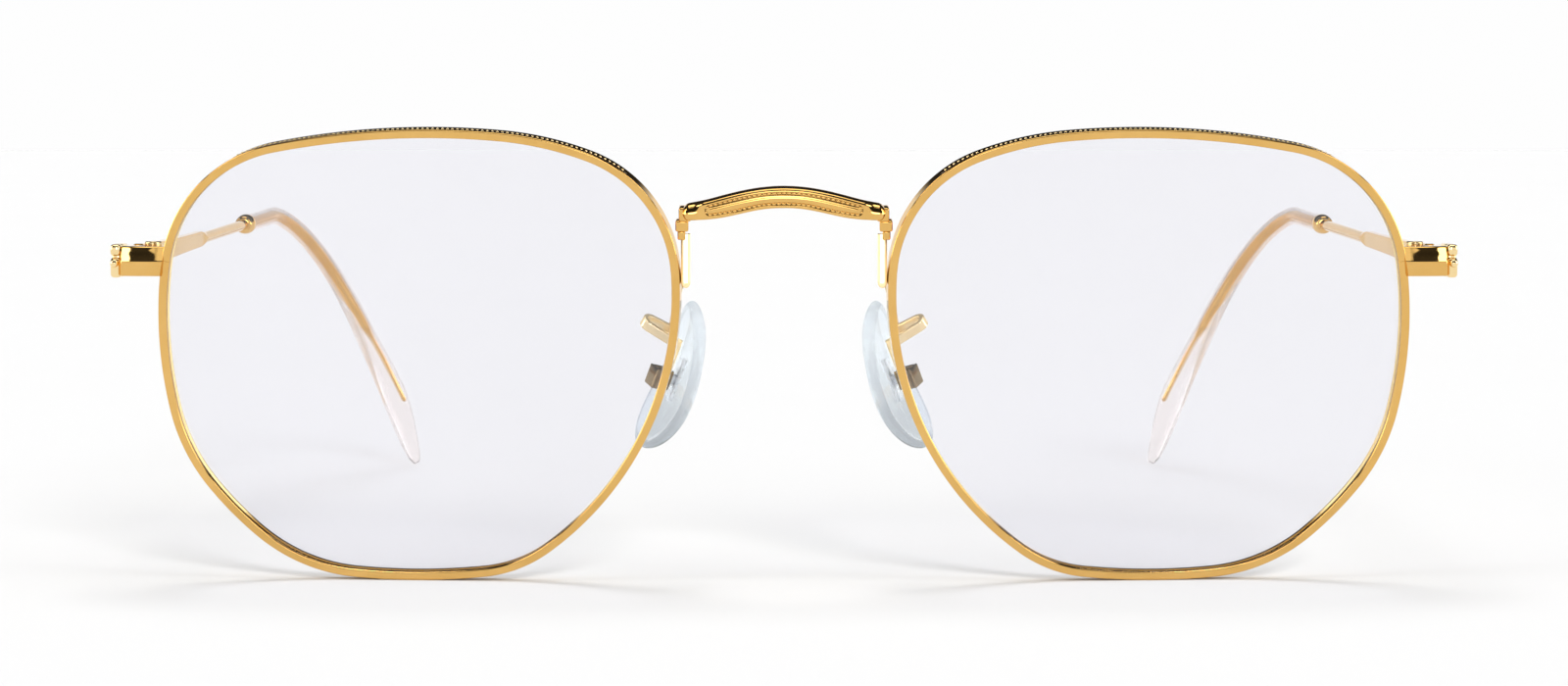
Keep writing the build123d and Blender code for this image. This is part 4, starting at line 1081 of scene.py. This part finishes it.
# brightness by height above the horizon: pale backdrop low down, dark above it, soft light overhead
up = ramp(t, sep.outputs["Z"], [(0.0, (1.0, 1.0, 1.0)), (0.20, (1.0, 1.0, 1.0)), (0.27, (0.02, 0.02, 0.02)),
                                (0.91, (0.02, 0.02, 0.022)), (0.94, (1.0, 1.0, 1.0)), (1.0, (1.0, 1.0, 1.0))])
power = span(t, sep.outputs["Z"], 0.99, 2.4)
power.inputs["From Min"].default_value = 0.5
power.inputs["From Max"].default_value = 0.8
# large soft panels left and right, one pair up at the front and one pair low at the sides
mirror_x = t.nodes.new("ShaderNodeMath")
mirror_x.operation = "ABSOLUTE"
t.links.new(sep.outputs["X"], mirror_x.inputs[0])
comb = t.nodes.new("ShaderNodeCombineXYZ")
t.links.new(mirror_x.outputs[0], comb.inputs["X"])
t.links.new(sep.outputs["Y"], comb.inputs["Y"])
t.links.new(sep.outputs["Z"], comb.inputs["Z"])
total = power.outputs["Result"]
base = t.nodes.new("ShaderNodeVectorMath")
base.operation = "SCALE"
t.links.new(up.outputs["Color"], base.inputs[0])
t.links.new(total, base.inputs["Scale"])
total = base.outputs["Vector"]
for aim, inner, outer, gain in (((0.70, -0.34, 0.62), 10.5, 12.5, 5.0), ((0.975, -0.10, 0.16), 17.0, 21.0, 4.2), ((0.15, -0.63, 0.762), 5.0, 5.8, 1.1), ((0.0, -0.995, 0.10), 5.5, 7.5, 4.5)):
    dot = t.nodes.new("ShaderNodeVectorMath")
    dot.operation = "DOT_PRODUCT"
    dot.inputs[1].default_value = tuple(unit(vec(*aim)))
    t.links.new(comb.outputs["Vector"], dot.inputs[0])
    edge_ = t.nodes.new("ShaderNodeMapRange")
    edge_.inputs["From Min"].default_value = math.cos(math.radians(outer))
    edge_.inputs["From Max"].default_value = math.cos(math.radians(inner))
    edge_.inputs["To Max"].default_value = gain
    t.links.new(dot.outputs["Value"], edge_.inputs["Value"])
    add = t.nodes.new("ShaderNodeVectorMath")
    add.operation = "ADD"
    t.links.new(total, add.inputs[0])
    t.links.new(edge_.outputs["Result"], add.inputs[1])
    total = add.outputs["Vector"]
t.links.new(total, bg.inputs["Color"])
t.links.new(bg.outputs["Background"], wout.inputs["Surface"])


for lamp_name, energy, angle, towards in (("key", 2.8, 16.0, (-0.243, 0.849, -0.469)), ("top", 1.2, 22.0, (0.04, -0.36, -0.93))):
    d = bpy.data.lights.new(lamp_name, "SUN")
    d.energy = energy
    d.angle = math.radians(angle)
    lamp = bpy.data.objects.new(lamp_name, d)
    lamp.visible_glossy = False
    bpy.context.scene.collection.objects.link(lamp)
    lamp.rotation_euler = Vector(towards).to_track_quat("-Z", "Y").to_euler()

sc = bpy.context.scene
sc.view_settings.view_transform = "Standard"
sc.view_settings.look = "None"
sc.view_settings.exposure = 0.0
sc.view_settings.gamma = 1.0
sc.cycles.max_bounces = 16
sc.cycles.transmission_bounces = 14
sc.cycles.transparent_max_bounces = 16
sc.cycles.glossy_bounces = 6
